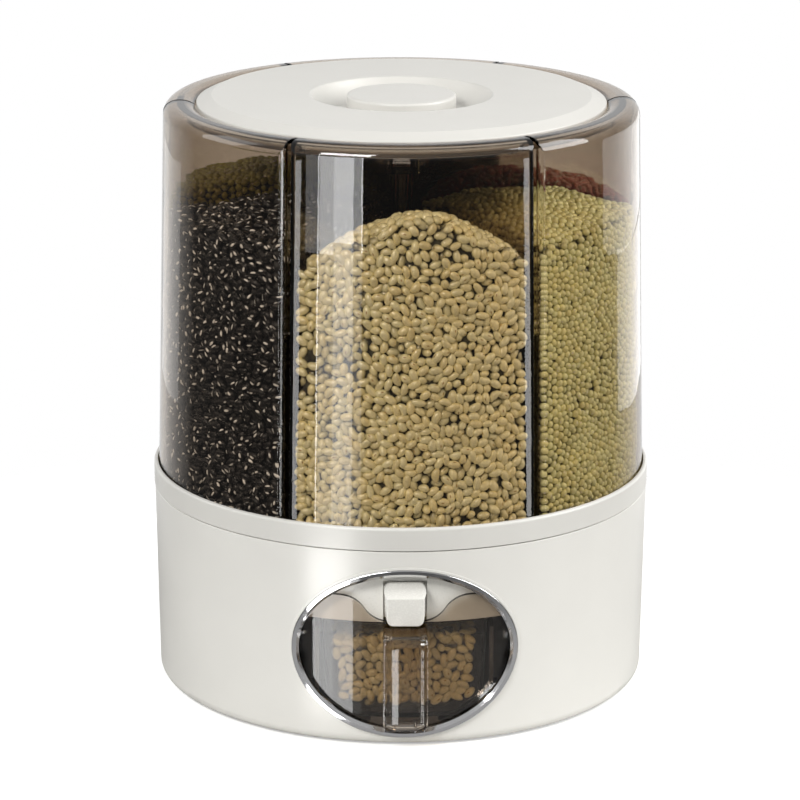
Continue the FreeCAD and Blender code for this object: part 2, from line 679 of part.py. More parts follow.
def outlet_gasket():
    """Soft frame round the deck's hole that keeps grain out of the gap above the deck."""
    z0 = DECK_Z1 - GASKET_DEPTH
    z1 = PLATE_Z0 - GASKET_GAP
    return deck_opening(GASKET_W, z0, z1).cut(deck_opening(0, z0, z1))


def index_leaf():
    """Leaf spring whose nose clicks into the turntable's notches."""
    foot_z = DECK_Z1 - INDEX_POCKET
    nose_z = PLATE_Z0 - INDEX_GAP - INDEX_NOSE_R
    end = INDEX_L / 2
    foot = end - INDEX_FOOT_L
    top = foot_z + INDEX_RISE
    strip = along_y(-INDEX_R - INDEX_W / 2, -INDEX_R + INDEX_W / 2,
                    (-end, foot_z), (-foot, foot_z), (-INDEX_NOSE_R, top - INDEX_T),
                    (INDEX_NOSE_R, top - INDEX_T), (foot, foot_z), (end, foot_z),
                    (end, foot_z + INDEX_T), (foot, foot_z + INDEX_T), (INDEX_NOSE_R, top),
                    (-INDEX_NOSE_R, top), (-foot, foot_z + INDEX_T), (-end, foot_z + INDEX_T))
    nose = Part.makeCylinder(INDEX_NOSE_R, INDEX_W, V(0, -INDEX_R - INDEX_W / 2, nose_z), Y_AXIS)
    above = box(-end, end, -FAR, 0, top - INDEX_T, PLATE_Z0)
    return turned(fused([strip, nose.common(above)]), INDEX_DEG + DRUM_TURN)


def outlet_chute():
    """White hood under the deck: a curved front behind the window and a throat for grain."""
    flange = box(-CHUTE_HALF_W, CHUTE_HALF_W, -FAR, -CHUTE_BACK, CHUTE_Z0, DECK_Z0)
    fascia = box(-CHUTE_HALF_W, CHUTE_HALF_W, -FAR, 0, FASCIA_LOW_Z, DECK_Z0)
    outer_x = THROAT_HALF_W + THROAT_WALL
    throat = box(-outer_x, outer_x, -THROAT_FRONT - THROAT_WALL, -THROAT_BACK + THROAT_WALL,
                 THROAT_LOW_Z, CHUTE_Z0)
    guides = []
    for z in (YOKE_LOW_Z - GUIDE_GAP - GUIDE_T, YOKE_TOP_Z + GUIDE_GAP):
        guides += both_sides(box(outer_x, outer_x + GUIDE_W, -GUIDE_FROM, GUIDE_L - GUIDE_FROM,
                                 z, z + GUIDE_T))
    lug = box(SPRING_LUG_X, SPRING_LUG_X + SPRING_LUG_T, GATE_PIN_Y - SPRING_LUG_W / 2,
              GATE_PIN_Y + SPRING_LUG_W / 2, GATE_PIN_Z - SPRING_LUG_H, CHUTE_Z0)
    hood = fused([flange.common(disc(FASCIA_R, CHUTE_Z0, DECK_Z0)),
                  fascia.common(ring(FASCIA_R - FASCIA_T, FASCIA_R, FASCIA_LOW_Z, DECK_Z0)),
                  throat, lug] + guides)
    slot_y = CRANK_HUB_R + CRANK_SLOT_GAP
    notch_x = BUTTON_HALF_W + BUTTON_HOLE_GAP
    cuts = [box(-THROAT_HALF_W, THROAT_HALF_W, -THROAT_FRONT, -THROAT_BACK, THROAT_LOW_Z, DECK_Z0),
            rod(GATE_PIN_R + GATE_PIN_PLAY, -FAR, FAR, GATE_PIN_Y, GATE_PIN_Z),
            box(-notch_x, notch_x, -FAR, -FASCIA_R + 2 * FASCIA_T + BUTTON_FLANGE_T, FASCIA_LOW_Z,
                BUTTON_LOW_Z + BUTTON_H + BUTTON_HOLE_GAP)]
    for x0, x1 in ((-CRANK_X - CRANK_T - CRANK_SLOT_GAP, -outer_x), (outer_x, SPRING_LUG_X)):
        cuts.append(box(x0, x1, GATE_PIN_Y - slot_y, GATE_PIN_Y + slot_y, CHUTE_Z0, DECK_Z0))
    for x, y in chute_screw_spots():
        cuts.append(disc(SCREW_R + FIT, CHUTE_Z0, DECK_Z0, x, y))
    return hood.cut(cuts)


def chute_screws():
    return Part.makeCompound([screw(x, y, CHUTE_Z0, CHUTE_T + CHUTE_SCREW_BITE - FIT, SCREW_R,
                                    SCREW_HEAD_R, SCREW_HEAD_T) for x, y in chute_screw_spots()])


def spindle():
    """Fixed pivot of the drum, pushed up through the deck's boss against its flange."""
    shaft = fused([disc(PIVOT_R, PIVOT_Z0, PIVOT_Z1),
                   disc(PIVOT_FLANGE_R, PIVOT_Z0 - PIVOT_FLANGE_T, PIVOT_Z0)])
    bore_z = PIVOT_Z1 + WASHER_T - PIVOT_SCREW_L - FLOOR_GAP
    return shaft.cut(disc(PIVOT_SCREW_R + FIT, bore_z, PIVOT_Z1))


def spindle_washer():
    """Washer on the spindle that keeps the turntable from lifting."""
    return ring(PIVOT_SCREW_R + FIT, WASHER_R, PIVOT_Z1, PIVOT_Z1 + WASHER_T)


def spindle_screw():
    seat_z = PIVOT_Z1 + WASHER_T
    one = screw(0, 0, 0, PIVOT_SCREW_L, PIVOT_SCREW_R, PIVOT_SCREW_HEAD_R, PIVOT_SCREW_HEAD_T)
    one.rotate(ORIGIN, X_AXIS, 180)
    one.translate(V(0, 0, seat_z))
    return one


def ball_cage():
    """Flat ring that spaces the bearing's balls."""
    cage = ring(RACE_R - CAGE_W / 2, RACE_R + CAGE_W / 2, CAGE_Z0, CAGE_Z1)
    return cage.cut(around(disc(BALL_R + RACE_PLAY, CAGE_Z0, CAGE_Z1, 0, -RACE_R), BALL_COUNT))


def bearing_balls():
    return Part.makeCompound(around(Part.makeSphere(BALL_R, V(0, -RACE_R, BALL_Z)), BALL_COUNT))


def turntable():
    """White plate that carries the bins. Its rim is the band above the seam."""
    body = lathe((PIVOT_R + PIVOT_PLAY, PLATE_Z0), (PLATE_R, PLATE_Z0), (PLATE_R, RIM_Z0),
                 (RIM_R, RIM_Z0), (RIM_R, RIM_Z1), (RIM_R_IN, RIM_Z1), (RIM_R_IN, PLATE_Z1),
                 (TOWER_R, PLATE_Z1), (TOWER_R, TOWER_Z1), (TOWER_R - TOWER_WALL, TOWER_Z1),
                 (TOWER_R - TOWER_WALL, HUB_Z1), (PIVOT_R + PIVOT_PLAY, HUB_Z1))
    body = body.makeFillet(min(RIM_EDGE_R, RIM_WALL - FIT), ring_edges(body, RIM_R, RIM_Z1))
    race_in = RACE_R - RACE_HALF_W
    race_out = RACE_R + RACE_HALF_W
    cage_half = CAGE_W / 2 + CAGE_GAP
    body = fused([body, ring(race_in - RACE_WALL, race_out + RACE_WALL, PLATE_Z1, RACE_Z1 + RACE_WALL)])
    notch = box(-NOTCH_W / 2, NOTCH_W / 2, -INDEX_R - INDEX_W, -INDEX_R + INDEX_W,
                PLATE_Z0, PLATE_Z0 + NOTCH_DEPTH)
    cuts = [ring(race_in, race_out, PLATE_Z0, RACE_Z1),
            ring(RACE_R - cage_half, RACE_R + cage_half, PLATE_Z0, CAGE_Z1 + CAGE_GAP)]
    cuts += around(outlet_hole(COLLAR_T + COLLAR_GAP, PLATE_Z0, PLATE_Z1), BIN_COUNT, DRUM_TURN)
    cuts += around(notch, BIN_COUNT, INDEX_DEG + DRUM_TURN)
    return body.cut(cuts)


def centre_post():
    """Rod up the middle of the drum, plugged into the turntable's tower."""
    plug_r = TOWER_R - TOWER_WALL - FIT
    return fused([disc(plug_r, TOWER_Z1 - POST_SPIGOT_H, TOWER_Z1),
                  disc(TOWER_R, TOWER_Z1, TOWER_Z1 + POST_FOOT_T),
                  disc(POST_R, TOWER_Z1, CAP_Z0 + POST_SCREWED)])


def post_cap():
    """Round cap on the post that holds the bins' inner corners down."""
    cap = disc(CAP_R, CAP_Z0, CAP_Z0 + CAP_T)
    cap = cap.makeFillet(CAP_EDGE_R, ring_edges(cap, CAP_R, CAP_Z0 + CAP_T))
    return cap.cut(disc(POST_R + FIT, CAP_Z0, CAP_Z0 + POST_SCREWED + FIT))


def bin_r(z):
    """Outer radius of the tapered bins at a height."""
    return BIN_R_FOOT - (BIN_R_FOOT - BIN_R_TOP) * (z - PLATE_Z1) / (SHOULDER_Z - PLATE_Z1)


def bin_section(inset, radius, corner_r, z):
    """Wedge seen from above: two straight sides, an outer arc and rounded outer corners."""
    reach = radius - corner_r
    offset = inset + corner_r
    along = math.sqrt(reach ** 2 - offset ** 2)
    corner_turn = math.asin(offset / reach)
    wires = []
    tip = V(0, -inset / math.sin(HALF_SHARE), z)
    for side in (1, -1):
        out = V(side * math.sin(HALF_SHARE), -math.cos(HALF_SHARE), 0)
        inward = V(-side * math.cos(HALF_SHARE), -math.sin(HALF_SHARE), 0)
        centre = out * along + inward * offset + V(0, 0, z)
        touch_side = out * along + inward * inset + V(0, 0, z)
        turn = HALF_SHARE - corner_turn
        touch_rim = V(side * math.sin(turn), -math.cos(turn), 0) * radius + V(0, 0, z)
        middle = (touch_side - centre) + (touch_rim - centre)
        wires.append((touch_side, centre + middle.normalize() * corner_r, touch_rim))
    (right_a, right_b, right_c), (left_a, left_b, left_c) = wires
    front = V(0, -radius, z)
    return Part.Wire([Part.makeLine(tip, right_a), Part.Arc(right_a, right_b, right_c).toShape(),
                      Part.Arc(right_c, front, left_c).toShape(),
                      Part.Arc(left_c, left_b, left_a).toShape(), Part.makeLine(left_a, tip)])


def bin_block(inset, wall, corner_r, z0, z1):
    """Tapered wedge between two heights, its outer face moved in by a wall."""
    low = bin_section(inset, bin_r(z0) - wall, corner_r, z0)
    high = bin_section(inset, bin_r(z1) - wall, corner_r, z1)
    return Part.makeLoft([low, high], True, True)


def one_bin():
    """Clear wedge-shaped bin: sloping floor, outlet collar and a rolled rim with the lid's ledge."""
    slope = math.tan(math.radians(CONE_SLOPE))
    floor_z = PLATE_Z1 + BIN_FLOOR
    shoulder = (BIN_R_TOP - CREST_R, SHOULDER_Z)
    crest = (shoulder[0], CREST_Z)
    core_clear_r = CAP_R + CAP_SIDE_GAP
    outer = lathe((0, PLATE_Z1 + CONE_R * slope), (CONE_R, PLATE_Z1), (FAR, PLATE_Z1), (FAR, SHOULDER_Z),
                  (BIN_R_TOP, SHOULDER_Z), arc(shoulder, CREST_R, 0, 90),
                  bow(crest, (LIP_R, LIP_Z), -LIP_SAG), (LIP_R, BIN_LEDGE_Z), (LEDGE_R, BIN_LEDGE_Z),
                  (LEDGE_R, WALL_TOP_Z), (core_clear_r, WALL_TOP_Z), (core_clear_r, CORE_TOP_Z),
                  (0, CORE_TOP_Z))
    inner_crest_r = CREST_R - CREST_WALL
    inner_lip = (LIP_R + LIP_WALL, LIP_Z - CREST_WALL)
    ledge_low_z = BIN_LEDGE_Z - BIN_LEDGE_T
    inner = lathe((0, floor_z + CONE_R * slope), (CONE_R, floor_z), (FAR, floor_z), (FAR, SHOULDER_Z),
                  (shoulder[0] + inner_crest_r, SHOULDER_Z), arc(shoulder, inner_crest_r, 0, 90),
                  inner_lip, (inner_lip[0], ledge_low_z), (LEDGE_R, ledge_low_z), (LEDGE_R, LID_Z1),
                  (0, LID_Z1))
    inner = inner.cut(disc(CORE_R + BIN_SIDE_WALL, PLATE_Z1, LID_Z1))
    body = bin_block(BIN_GAP / 2, 0, BIN_CORNER_R, PLATE_Z1, CREST_Z).common(outer)
    hollow = bin_block(BIN_GAP / 2 + BIN_SIDE_WALL, BIN_WALL, BIN_INNER_CORNER_R, PLATE_Z1, LID_Z1)
    body = body.cut([hollow.common(inner), disc(CORE_R, PLATE_Z1, CREST_Z)])
    collar = outlet_hole(COLLAR_T, PLATE_Z0 + COLLAR_LIFT, PLATE_Z1)
    return fused([body, collar]).cut(outlet_hole(0, PLATE_Z0, floor_z))


def bin_maker(number):
    return lambda: turned(one_bin(), DRUM_TURN + SHARE * number)


def lid():
    """White lid: a flat ring with a dished middle, a bevelled edge and a skirt in the drum."""
    under_z = LID_Z1 - LID_SHELL_T
    dish_low_z = DISH_Z - LID_SHELL_T
    skirt_in = LID_SKIRT_R - LID_SKIRT_T
    wall_low = (DISH_FLOOR_R, DISH_Z)
    wall_top = (DISH_R, LID_Z1)
    under_low = (DISH_FLOOR_R + LID_SHELL_T / 2, dish_low_z)
    under_top = (DISH_R + LID_SHELL_T, under_z)
    body = lathe((0, dish_low_z), under_low, bow(under_low, under_top, -DISH_SAG),
                 (LID_FLAT_R - LID_SHELL_T, under_z), (skirt_in, under_z - LID_SHELL_T / 2),
                 (skirt_in, LID_SIDE_Z0 - LID_SKIRT_H), (LID_SKIRT_R, LID_SIDE_Z0 - LID_SKIRT_H),
                 (LID_SKIRT_R, LID_SIDE_Z0), (LID_R, LID_SIDE_Z0), (LID_R, LID_EDGE_Z),
                 (LID_FLAT_R, LID_Z1), wall_top, bow(wall_top, wall_low, DISH_SAG), (0, DISH_Z))
    body = body.makeFillet(LID_EDGE_R, ring_edges(body, LID_R, LID_EDGE_Z))
    body = body.makeFillet(DISH_EDGE_R, ring_edges(body, DISH_R, LID_Z1))
    return body.cut(disc(KNOB_SCREW_R + FIT, dish_low_z, DISH_Z))


def lid_knob():
    """Hollow round knob in the middle of the dish, flush with the lid's flat."""
    knob = disc(KNOB_R, DISH_Z, LID_Z1)
    knob = knob.makeFillet(KNOB_EDGE_R, ring_edges(knob, KNOB_R, LID_Z1))
    roof_z = LID_Z1 - KNOB_WALL
    hollow = ring(KNOB_BOSS_R, KNOB_R - KNOB_WALL, DISH_Z, roof_z)
    return knob.cut([hollow, disc(KNOB_SCREW_R + FIT, DISH_Z, DISH_Z + KNOB_SCREW_BITE + FIT)])


def knob_screw():
    return screw(0, 0, DISH_Z - LID_SHELL_T, LID_SHELL_T + KNOB_SCREW_BITE, KNOB_SCREW_R,
                 KNOB_SCREW_HEAD_R, KNOB_SCREW_HEAD_T)


def lid_seal():
    """Soft ring under the lid's edge that rests on the bins' ledge."""
    return ring(LID_SKIRT_R + FIT, LIP_R - SEAL_SIDE_GAP, BIN_LEDGE_Z + SEAL_GAP, LID_SIDE_Z0)


def gate_flap():
    """Plate that closes the outlet from below, with a knuckle on the pin."""
    plate = box(-GATE_HALF_W, GATE_HALF_W, GATE_TIP_Y, GATE_PIN_Y, GATE_Z1 - GATE_T, GATE_Z1)
    knuckle = rod(GATE_KNUCKLE_R, -GATE_HALF_W, GATE_HALF_W, GATE_PIN_Y, GATE_PIN_Z)
    return fused([plate, knuckle]).cut(rod(GATE_PIN_R, -FAR, FAR, GATE_PIN_Y, GATE_PIN_Z))


def gate_pad():
    """Silicone sheet on the flap that seals the outlet."""
    return box(-GATE_HALF_W, GATE_HALF_W, GATE_TIP_Y, GATE_PIN_Y - GATE_KNUCKLE_R, GATE_Z1, GATE_TOP_Z)


def gate_pin():
    """Pin that the flap and both cranks are pressed on, as long as the spring needs."""
    far_x = SPRING_LUG_X + SPRING_LUG_T
    return rod(GATE_PIN_R, -CRANK_X - CRANK_T - PIN_END, far_x, GATE_PIN_Y, GATE_PIN_Z)


def gate_cranks():
    """Two arms that hang from the pin outside the throat. The yoke pushes their noses."""
    hub = rod(CRANK_HUB_R, CRANK_X, CRANK_X + CRANK_T, GATE_PIN_Y, GATE_PIN_Z)
    nose = rod(CRANK_NOSE_R, CRANK_X, CRANK_X + CRANK_T, GATE_PIN_Y, CRANK_NOSE_Z)
    arm = box(CRANK_X, CRANK_X + CRANK_T, GATE_PIN_Y - CRANK_ARM_W / 2, GATE_PIN_Y + CRANK_ARM_W / 2,
              CRANK_NOSE_Z, GATE_PIN_Z)
    crank = fused([hub, arm, nose]).cut(rod(GATE_PIN_R, -FAR, FAR, GATE_PIN_Y, GATE_PIN_Z))
    return Part.makeCompound(both_sides(crank))


def gate_spring():
    """Return spring wound on the pin between a crank and the hood's lug, as a plain sleeve."""
    outer = rod(SPRING_R, SPRING_X, SPRING_X + SPRING_L, GATE_PIN_Y, GATE_PIN_Z)
    return outer.cut(rod(SPRING_R - SPRING_WIRE, -FAR, FAR, GATE_PIN_Y, GATE_PIN_Z))


def button_side(off):
    """Step list of the button seen from the side, its faces moved in by off."""
    top_z = BUTTON_LOW_Z + BUTTON_H
    face_z = BUTTON_LOW_Z + BUTTON_FACE_H
    front = -BUTTON_FRONT
    return [(-BUTTON_BACK, BUTTON_LOW_Z + off), (front + off, BUTTON_LOW_Z + off),
            (front + off, face_z - off / 2), (front + BUTTON_SLOPE_L, top_z - off),
            (-BUTTON_BACK, top_z - off)]


def push_button():
    """White cap: an upright face with a sloping top, and a flange behind the hood."""
    side = along_x(-BUTTON_HALF_W, BUTTON_HALF_W, *button_side(0))
    plan = outline(lambda x, y: V(x, y, BUTTON_LOW_Z), (-BUTTON_FACE_HALF_W, -BUTTON_FRONT),
                   (BUTTON_FACE_HALF_W, -BUTTON_FRONT), (BUTTON_HALF_W, -BUTTON_BACK),
                   (-BUTTON_HALF_W, -BUTTON_BACK))
    cap = side.common(plan.extrude(V(0, 0, BUTTON_H)))
    bounds = [(e, e.BoundBox) for e in cap.Edges]
    shown = [e for e, b in bounds if b.YMin < -BUTTON_BACK - FIT and b.ZMax > BUTTON_LOW_Z + FIT]
    shown += [e for e, b in bounds if b.YMax < -BUTTON_FRONT + FIT and b.ZMax < BUTTON_LOW_Z + FIT]
    cap = cap.makeFillet(BUTTON_EDGE_R, shown)
    flange_x = BUTTON_HALF_W + BUTTON_FLANGE_W
    flange_z = BUTTON_LOW_Z + BUTTON_H + BUTTON_FLANGE_W
    flange = box(-flange_x, flange_x, -BUTTON_FLANGE_R, -BUTTON_BACK, BUTTON_LOW_Z, flange_z)
    flange = flange.common(disc(BUTTON_FLANGE_R, BUTTON_LOW_Z, flange_z))
    hollow_x = BUTTON_FACE_HALF_W - BUTTON_WALL + FIT
    hollow = along_x(-hollow_x, hollow_x, *button_side(BUTTON_WALL))
    return fused([cap, flange]).cut(hollow)


def push_yoke():
    """Bar behind the button with an arm to each crank and a stem inside the button."""
    arm_x = CRANK_X + CRANK_T
    arm_end = GATE_PIN_Y - CRANK_NOSE_R - YOKE_GAP
    bar = box(-arm_x, arm_x, -YOKE_FRONT, -YOKE_FRONT + YOKE_T, YOKE_LOW_Z, YOKE_TOP_Z)
    arms = both_sides(box(CRANK_X, arm_x, -YOKE_FRONT, arm_end, YOKE_LOW_Z, YOKE_TOP_Z))
    stem_x = BUTTON_FACE_HALF_W - BUTTON_WALL - STEM_GAP
    stem_z0 = BUTTON_LOW_Z + BUTTON_WALL + STEM_GAP
    stem = box(-stem_x, stem_x, -BUTTON_BACK - STEM_L, -YOKE_FRONT, stem_z0, STEM_TOP_Z)
    web = box(-stem_x, stem_x, -YOKE_FRONT, -YOKE_FRONT + YOKE_T, stem_z0, YOKE_TOP_Z)
    pad = box(-stem_x - BUTTON_WALL, stem_x + BUTTON_WALL, -BUTTON_BACK, -YOKE_FRONT,
              stem_z0, YOKE_TOP_Z)
    return fused([bar, web, stem, pad] + arms)


def cup_faceplate():
    """Smoky curved plate that fills the window below the hood, with two humps."""
    plate = ring(CUP_PLATE_R_IN, CUP_PLATE_R, HOUSING_Z0, HOUSING_Z1)
    plate = plate.common(oval(WINDOW_A - CUP_PLATE_GAP, WINDOW_B - CUP_PLATE_GAP))
    half_run = (CUP_HUMP_X - CUP_DIP_X) / 2
    half_rise = (CUP_HUMP_Z - CUP_DIP_Z) / 2
    bend_r = (half_run ** 2 + half_rise ** 2) / (2 * half_rise)
    turn = math.degrees(math.asin(half_run / bend_r))
    dip = (CUP_DIP_X, CUP_DIP_Z + bend_r)
    hump = (CUP_HUMP_X, CUP_HUMP_Z - bend_r)
    above = along_y(-FAR, 0, (0, CUP_DIP_Z), (CUP_DIP_X, CUP_DIP_Z), arc(dip, bend_r, -90, -90 + turn),
                    arc(hump, bend_r, 90 + turn, 90), (FAR, CUP_HUMP_Z), (FAR, HOUSING_Z1),
                    (0, HOUSING_Z1))
    return plate.cut(both_sides(above))


def cup_outline(off):
    """Step list of the cup seen from the front, its sides and floor moved in by off."""
    corner = math.atan2(CUP_HALF_LOW - CUP_HALF_FLOOR, CUP_CORNER_H)
    shift = off * math.tan((math.pi / 2 - corner) / 2)
    low = (CUP_HALF_LOW - off, CUP_FLOOR_Z + CUP_CORNER_H + off * math.tan(corner / 2))
    floor = (CUP_HALF_FLOOR - shift, CUP_FLOOR_Z + off)
    top = (CUP_HALF_TOP - off, CUP_TOP_Z)
    return [(-top[0], top[1]), (-low[0], low[1]), (-floor[0], floor[1]), floor, low, top]


def cup_body():
    """Smoky box that catches the grain, open above and behind the faceplate."""
    body = along_y(-FAR, -CUP_BACK, *cup_outline(0)).common(disc(CUP_PLATE_R_IN, 0, CUP_TOP_Z))
    hollow = along_y(-FAR, -CUP_BACK - CUP_WALL, *cup_outline(CUP_WALL))
    return body.cut(hollow.common(disc(CUP_PLATE_R_IN - CUP_WALL, 0, CUP_TOP_Z)))


def cup_handle():
    """Smoky strap in front of the faceplate, bent back to it at both ends."""
    front = -CUP_PLATE_R - HANDLE_OUT
    back = -CUP_PLATE_R_IN
    outer_low = (front + HANDLE_BEND_R, HANDLE_LOW_Z + HANDLE_BEND_R)
    outer_top = (front + HANDLE_BEND_R, HANDLE_TOP_Z - HANDLE_BEND_R)
    inner_r = HANDLE_BEND_R - HANDLE_T
    strap = along_x(-HANDLE_HALF_W, HANDLE_HALF_W, (back, HANDLE_LOW_Z), (outer_low[0], HANDLE_LOW_Z),
                    arc(outer_low, HANDLE_BEND_R, -90, -180), (front, outer_top[1]),
                    arc(outer_top, HANDLE_BEND_R, 180, 90), (back, HANDLE_TOP_Z),
                    (back, HANDLE_TOP_Z - HANDLE_T), (outer_top[0], HANDLE_TOP_Z - HANDLE_T),
                    arc(outer_top, inner_r, 90, 180), (front + HANDLE_T, outer_low[1]),
                    arc(outer_low, inner_r, -180, -90), (back, HANDLE_LOW_Z + HANDLE_T))
    long_edges = [e for e in strap.Edges if e.BoundBox.XLength < FIT]
    strap = strap.makeFillet(HANDLE_EDGE_R, [e for e in long_edges if e.BoundBox.YMax < back - FIT])
    return strap.cut(disc(CUP_PLATE_R, 0, HOUSING_Z1))


def cup_tray():
    """Floor under the cup: side walls that guide it, a rail that carries it and a back stop."""
    reach = FLOOR_LEDGE_R - TRAY_GAP
    outer_x = TRAY_WALL_X + TRAY_WALL_T
    stop_y = -CUP_BACK + TRAY_STOP_GAP
    back = stop_y + TRAY_WALL_T
    plate = box(-TRAY_HALF_W, TRAY_HALF_W, -TRAY_WALL_FRONT, back, FLOOR_Z1, FLOOR_Z1 + TRAY_T)
    plate = plate.common(disc(reach, FLOOR_Z1, FLOOR_Z1 + TRAY_T))
    walls = both_sides(box(TRAY_WALL_X, outer_x, -TRAY_WALL_FRONT, back, FLOOR_Z1, TRAY_WALL_TOP_Z))
    stop = box(-TRAY_WALL_X, TRAY_WALL_X, stop_y, back, FLOOR_Z1, FLOOR_Z1 + TRAY_STOP_H)
    rail = box(-RAIL_HALF_W, RAIL_HALF_W, -FAR, stop_y, FLOOR_Z1, RAIL_Z1)
    low_rail = rail.common(disc(reach, FLOOR_Z1, RAIL_Z1))
    high_rail = rail.common(disc(RAIL_FRONT, LEDGE_Z1 + TRAY_GAP, RAIL_Z1))
    return fused([plate, stop, low_rail, high_rail] + walls)


NODES = {
    "base_housing": base_housing,
    "base_floor": base_floor,
    "rubber_feet": rubber_feet,
    "floor_screws": floor_screws,
    "window_bezel": window_bezel,
    "base_deck": base_deck,
    "deck_screws": deck_screws,
    "outlet_gasket": outlet_gasket,
    "index_leaf": index_leaf,
    "outlet_chute": outlet_chute,
    "chute_screws": chute_screws,
    "spindle": spindle,
    "spindle_washer": spindle_washer,
    "spindle_screw": spindle_screw,
    "ball_cage": ball_cage,
    "bearing_balls": bearing_balls,
    "turntable": turntable,
    "centre_post": centre_post,
    "post_cap": post_cap,
    "lid": lid,
    "lid_knob": lid_knob,
    "knob_screw": knob_screw,
    "lid_seal": lid_seal,
    "gate_flap": gate_flap,
    "gate_pad": gate_pad,
    "gate_pin": gate_pin,
    "gate_cranks": gate_cranks,
    "gate_spring": gate_spring,
    "push_button": push_button,
    "push_yoke": push_yoke,
    "cup_faceplate": cup_faceplate,
    "cup_body": cup_body,
    "cup_handle": cup_handle,
    "cup_tray": cup_tray,
}
for number in range(BIN_COUNT):
    NODES["bin_%d" % (number + 1)] = bin_maker(number)

os.makedirs("parts", exist_ok=True)
for name, maker in NODES.items():
    shape = maker()
    shape.exportStep("parts/%s.step" % name)
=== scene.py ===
"""Rotating grain dispenser: finishes, grain, studio and camera, laid out as an add-on.

Lengths are in metres. +Z is up, the window faces -Y, and the drum turns about the Z axis.
"""

import math
from functools import partial

import bpy
import numpy as np
from mathutils import Matrix, Vector


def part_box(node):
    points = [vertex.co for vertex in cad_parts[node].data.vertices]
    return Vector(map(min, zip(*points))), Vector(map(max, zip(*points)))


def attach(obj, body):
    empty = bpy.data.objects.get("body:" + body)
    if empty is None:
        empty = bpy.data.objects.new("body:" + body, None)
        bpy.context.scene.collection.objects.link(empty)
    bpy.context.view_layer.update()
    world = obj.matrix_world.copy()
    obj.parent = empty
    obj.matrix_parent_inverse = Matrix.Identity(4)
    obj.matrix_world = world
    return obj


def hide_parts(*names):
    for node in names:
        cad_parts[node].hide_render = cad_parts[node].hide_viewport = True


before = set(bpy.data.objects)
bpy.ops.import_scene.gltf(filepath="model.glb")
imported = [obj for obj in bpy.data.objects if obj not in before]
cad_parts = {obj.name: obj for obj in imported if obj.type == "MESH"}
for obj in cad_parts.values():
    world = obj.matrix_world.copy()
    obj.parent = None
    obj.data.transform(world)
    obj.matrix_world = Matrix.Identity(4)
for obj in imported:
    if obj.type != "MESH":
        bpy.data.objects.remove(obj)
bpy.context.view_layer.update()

bl_info = {
    "name": "Rotating Grain Dispenser",
    "version": (1, 0, 0),
    "blender": (4, 5, 0),
    "location": "3D View > Sidebar > Dispenser",
    "description": "Finishes, grain, studio and camera for a six-bin turning dispenser",
    "category": "Object",
}

MM = 0.001
WHITE = (1.0, 1.0, 1.0, 1.0)
NOISE_SPAN = {"From Min": 0.3, "From Max": 0.7}     # values that most of a noise lies between

# The drum's inside, where the grain lies
DRUM_TURN = 1.8                     # degrees by which the drum's stops pass the window
BIN_FLOOR_Z = 118.0 * MM
CONE_R = 82.0 * MM
CONE_SLOPE = math.tan(math.radians(28.0))
BIN_IN_R_LOW = 137.7 * MM           # inner radius of the outer wall at the floor
BIN_IN_R_TOP = 132.3 * MM           # and at the shoulder
SHOULDER_Z = 329.1 * MM
BIN_SIDE_IN = 3.3 * MM              # from the plane between two bins to a side wall's inner face
CORE_IN_R = 11.2 * MM
HALF_SHARE = math.radians(30.0)
WALL_GAP = 0.3 * MM                 # grain clear of the wall that it lies against

# The cup's inside
CUP_IN_R = 133.0 * MM               # inner face of the cup's curved front
CUP_IN_FLOOR_Z = 18.2 * MM
CUP_IN_CHAMFER_Z = 26.5 * MM
CUP_IN_HALF = (25.6 * MM, 40.8 * MM, 42.9 * MM)   # half width at the floor, chamfer top and rim
CUP_IN_BACK_Y = -52.2 * MM
CUP_TOP_Z = 70.6 * MM

# Which grain is in which bin, and its heap, a blunt cone: height of the tip, how far the tip lies
# from the axis and to the side, its slope, and the radius over which the tip is rounded
BIN_GRAIN = {
    "bin_1": ("soybean", 298.6 * MM, 117.0 * MM, 4.0 * MM, 0.60, 17.0 * MM),
    "bin_2": ("mung_bean", 292.3 * MM, 78.0 * MM, 1.0 * MM, 0.35, 30.0 * MM),
    "bin_3": ("adzuki_bean", 290.2 * MM, 68.0 * MM, -10.0 * MM, 0.34, 29.0 * MM),
    "bin_4": ("red_sorghum", 287.0 * MM, 76.0 * MM, 0.0, 0.30, 25.0 * MM),
    "bin_5": ("green_mung_bean", 295.0 * MM, 64.0 * MM, 6.6 * MM, 0.23, 27.0 * MM),
    "bin_6": ("black_bean", 290.7 * MM, 42.0 * MM, 7.0 * MM, 0.16, 14.0 * MM),
}

# Shape of each grain: width and thickness as shares of its length, how much the most bent ones
# bend, its eye (half length and half width of the mark, as shares of the grain's half sizes), and
# how far, in radians, grains are rolled off showing their eye (9 is any way up)
GRAIN_SHAPE = {
    "soybean": (0.62, 0.58, 0.18, (0.22, 0.12), 9.0),
    "mung_bean": (0.82, 0.80, 0.0, (0.30, 0.12), 9.0),
    "adzuki_bean": (0.74, 0.72, 0.0, (0.45, 0.12), 9.0),
    "red_sorghum": (0.90, 0.80, 0.0, (0.16, 0.16), 9.0),
    "green_mung_bean": (0.82, 0.80, 0.0, (0.30, 0.12), 9.0),
    "black_bean": (0.62, 0.56, 0.14, (0.34, 0.26), 0.75),
}
SIZE_SPREAD = 0.07                  # how much single grains differ in length, width and thickness

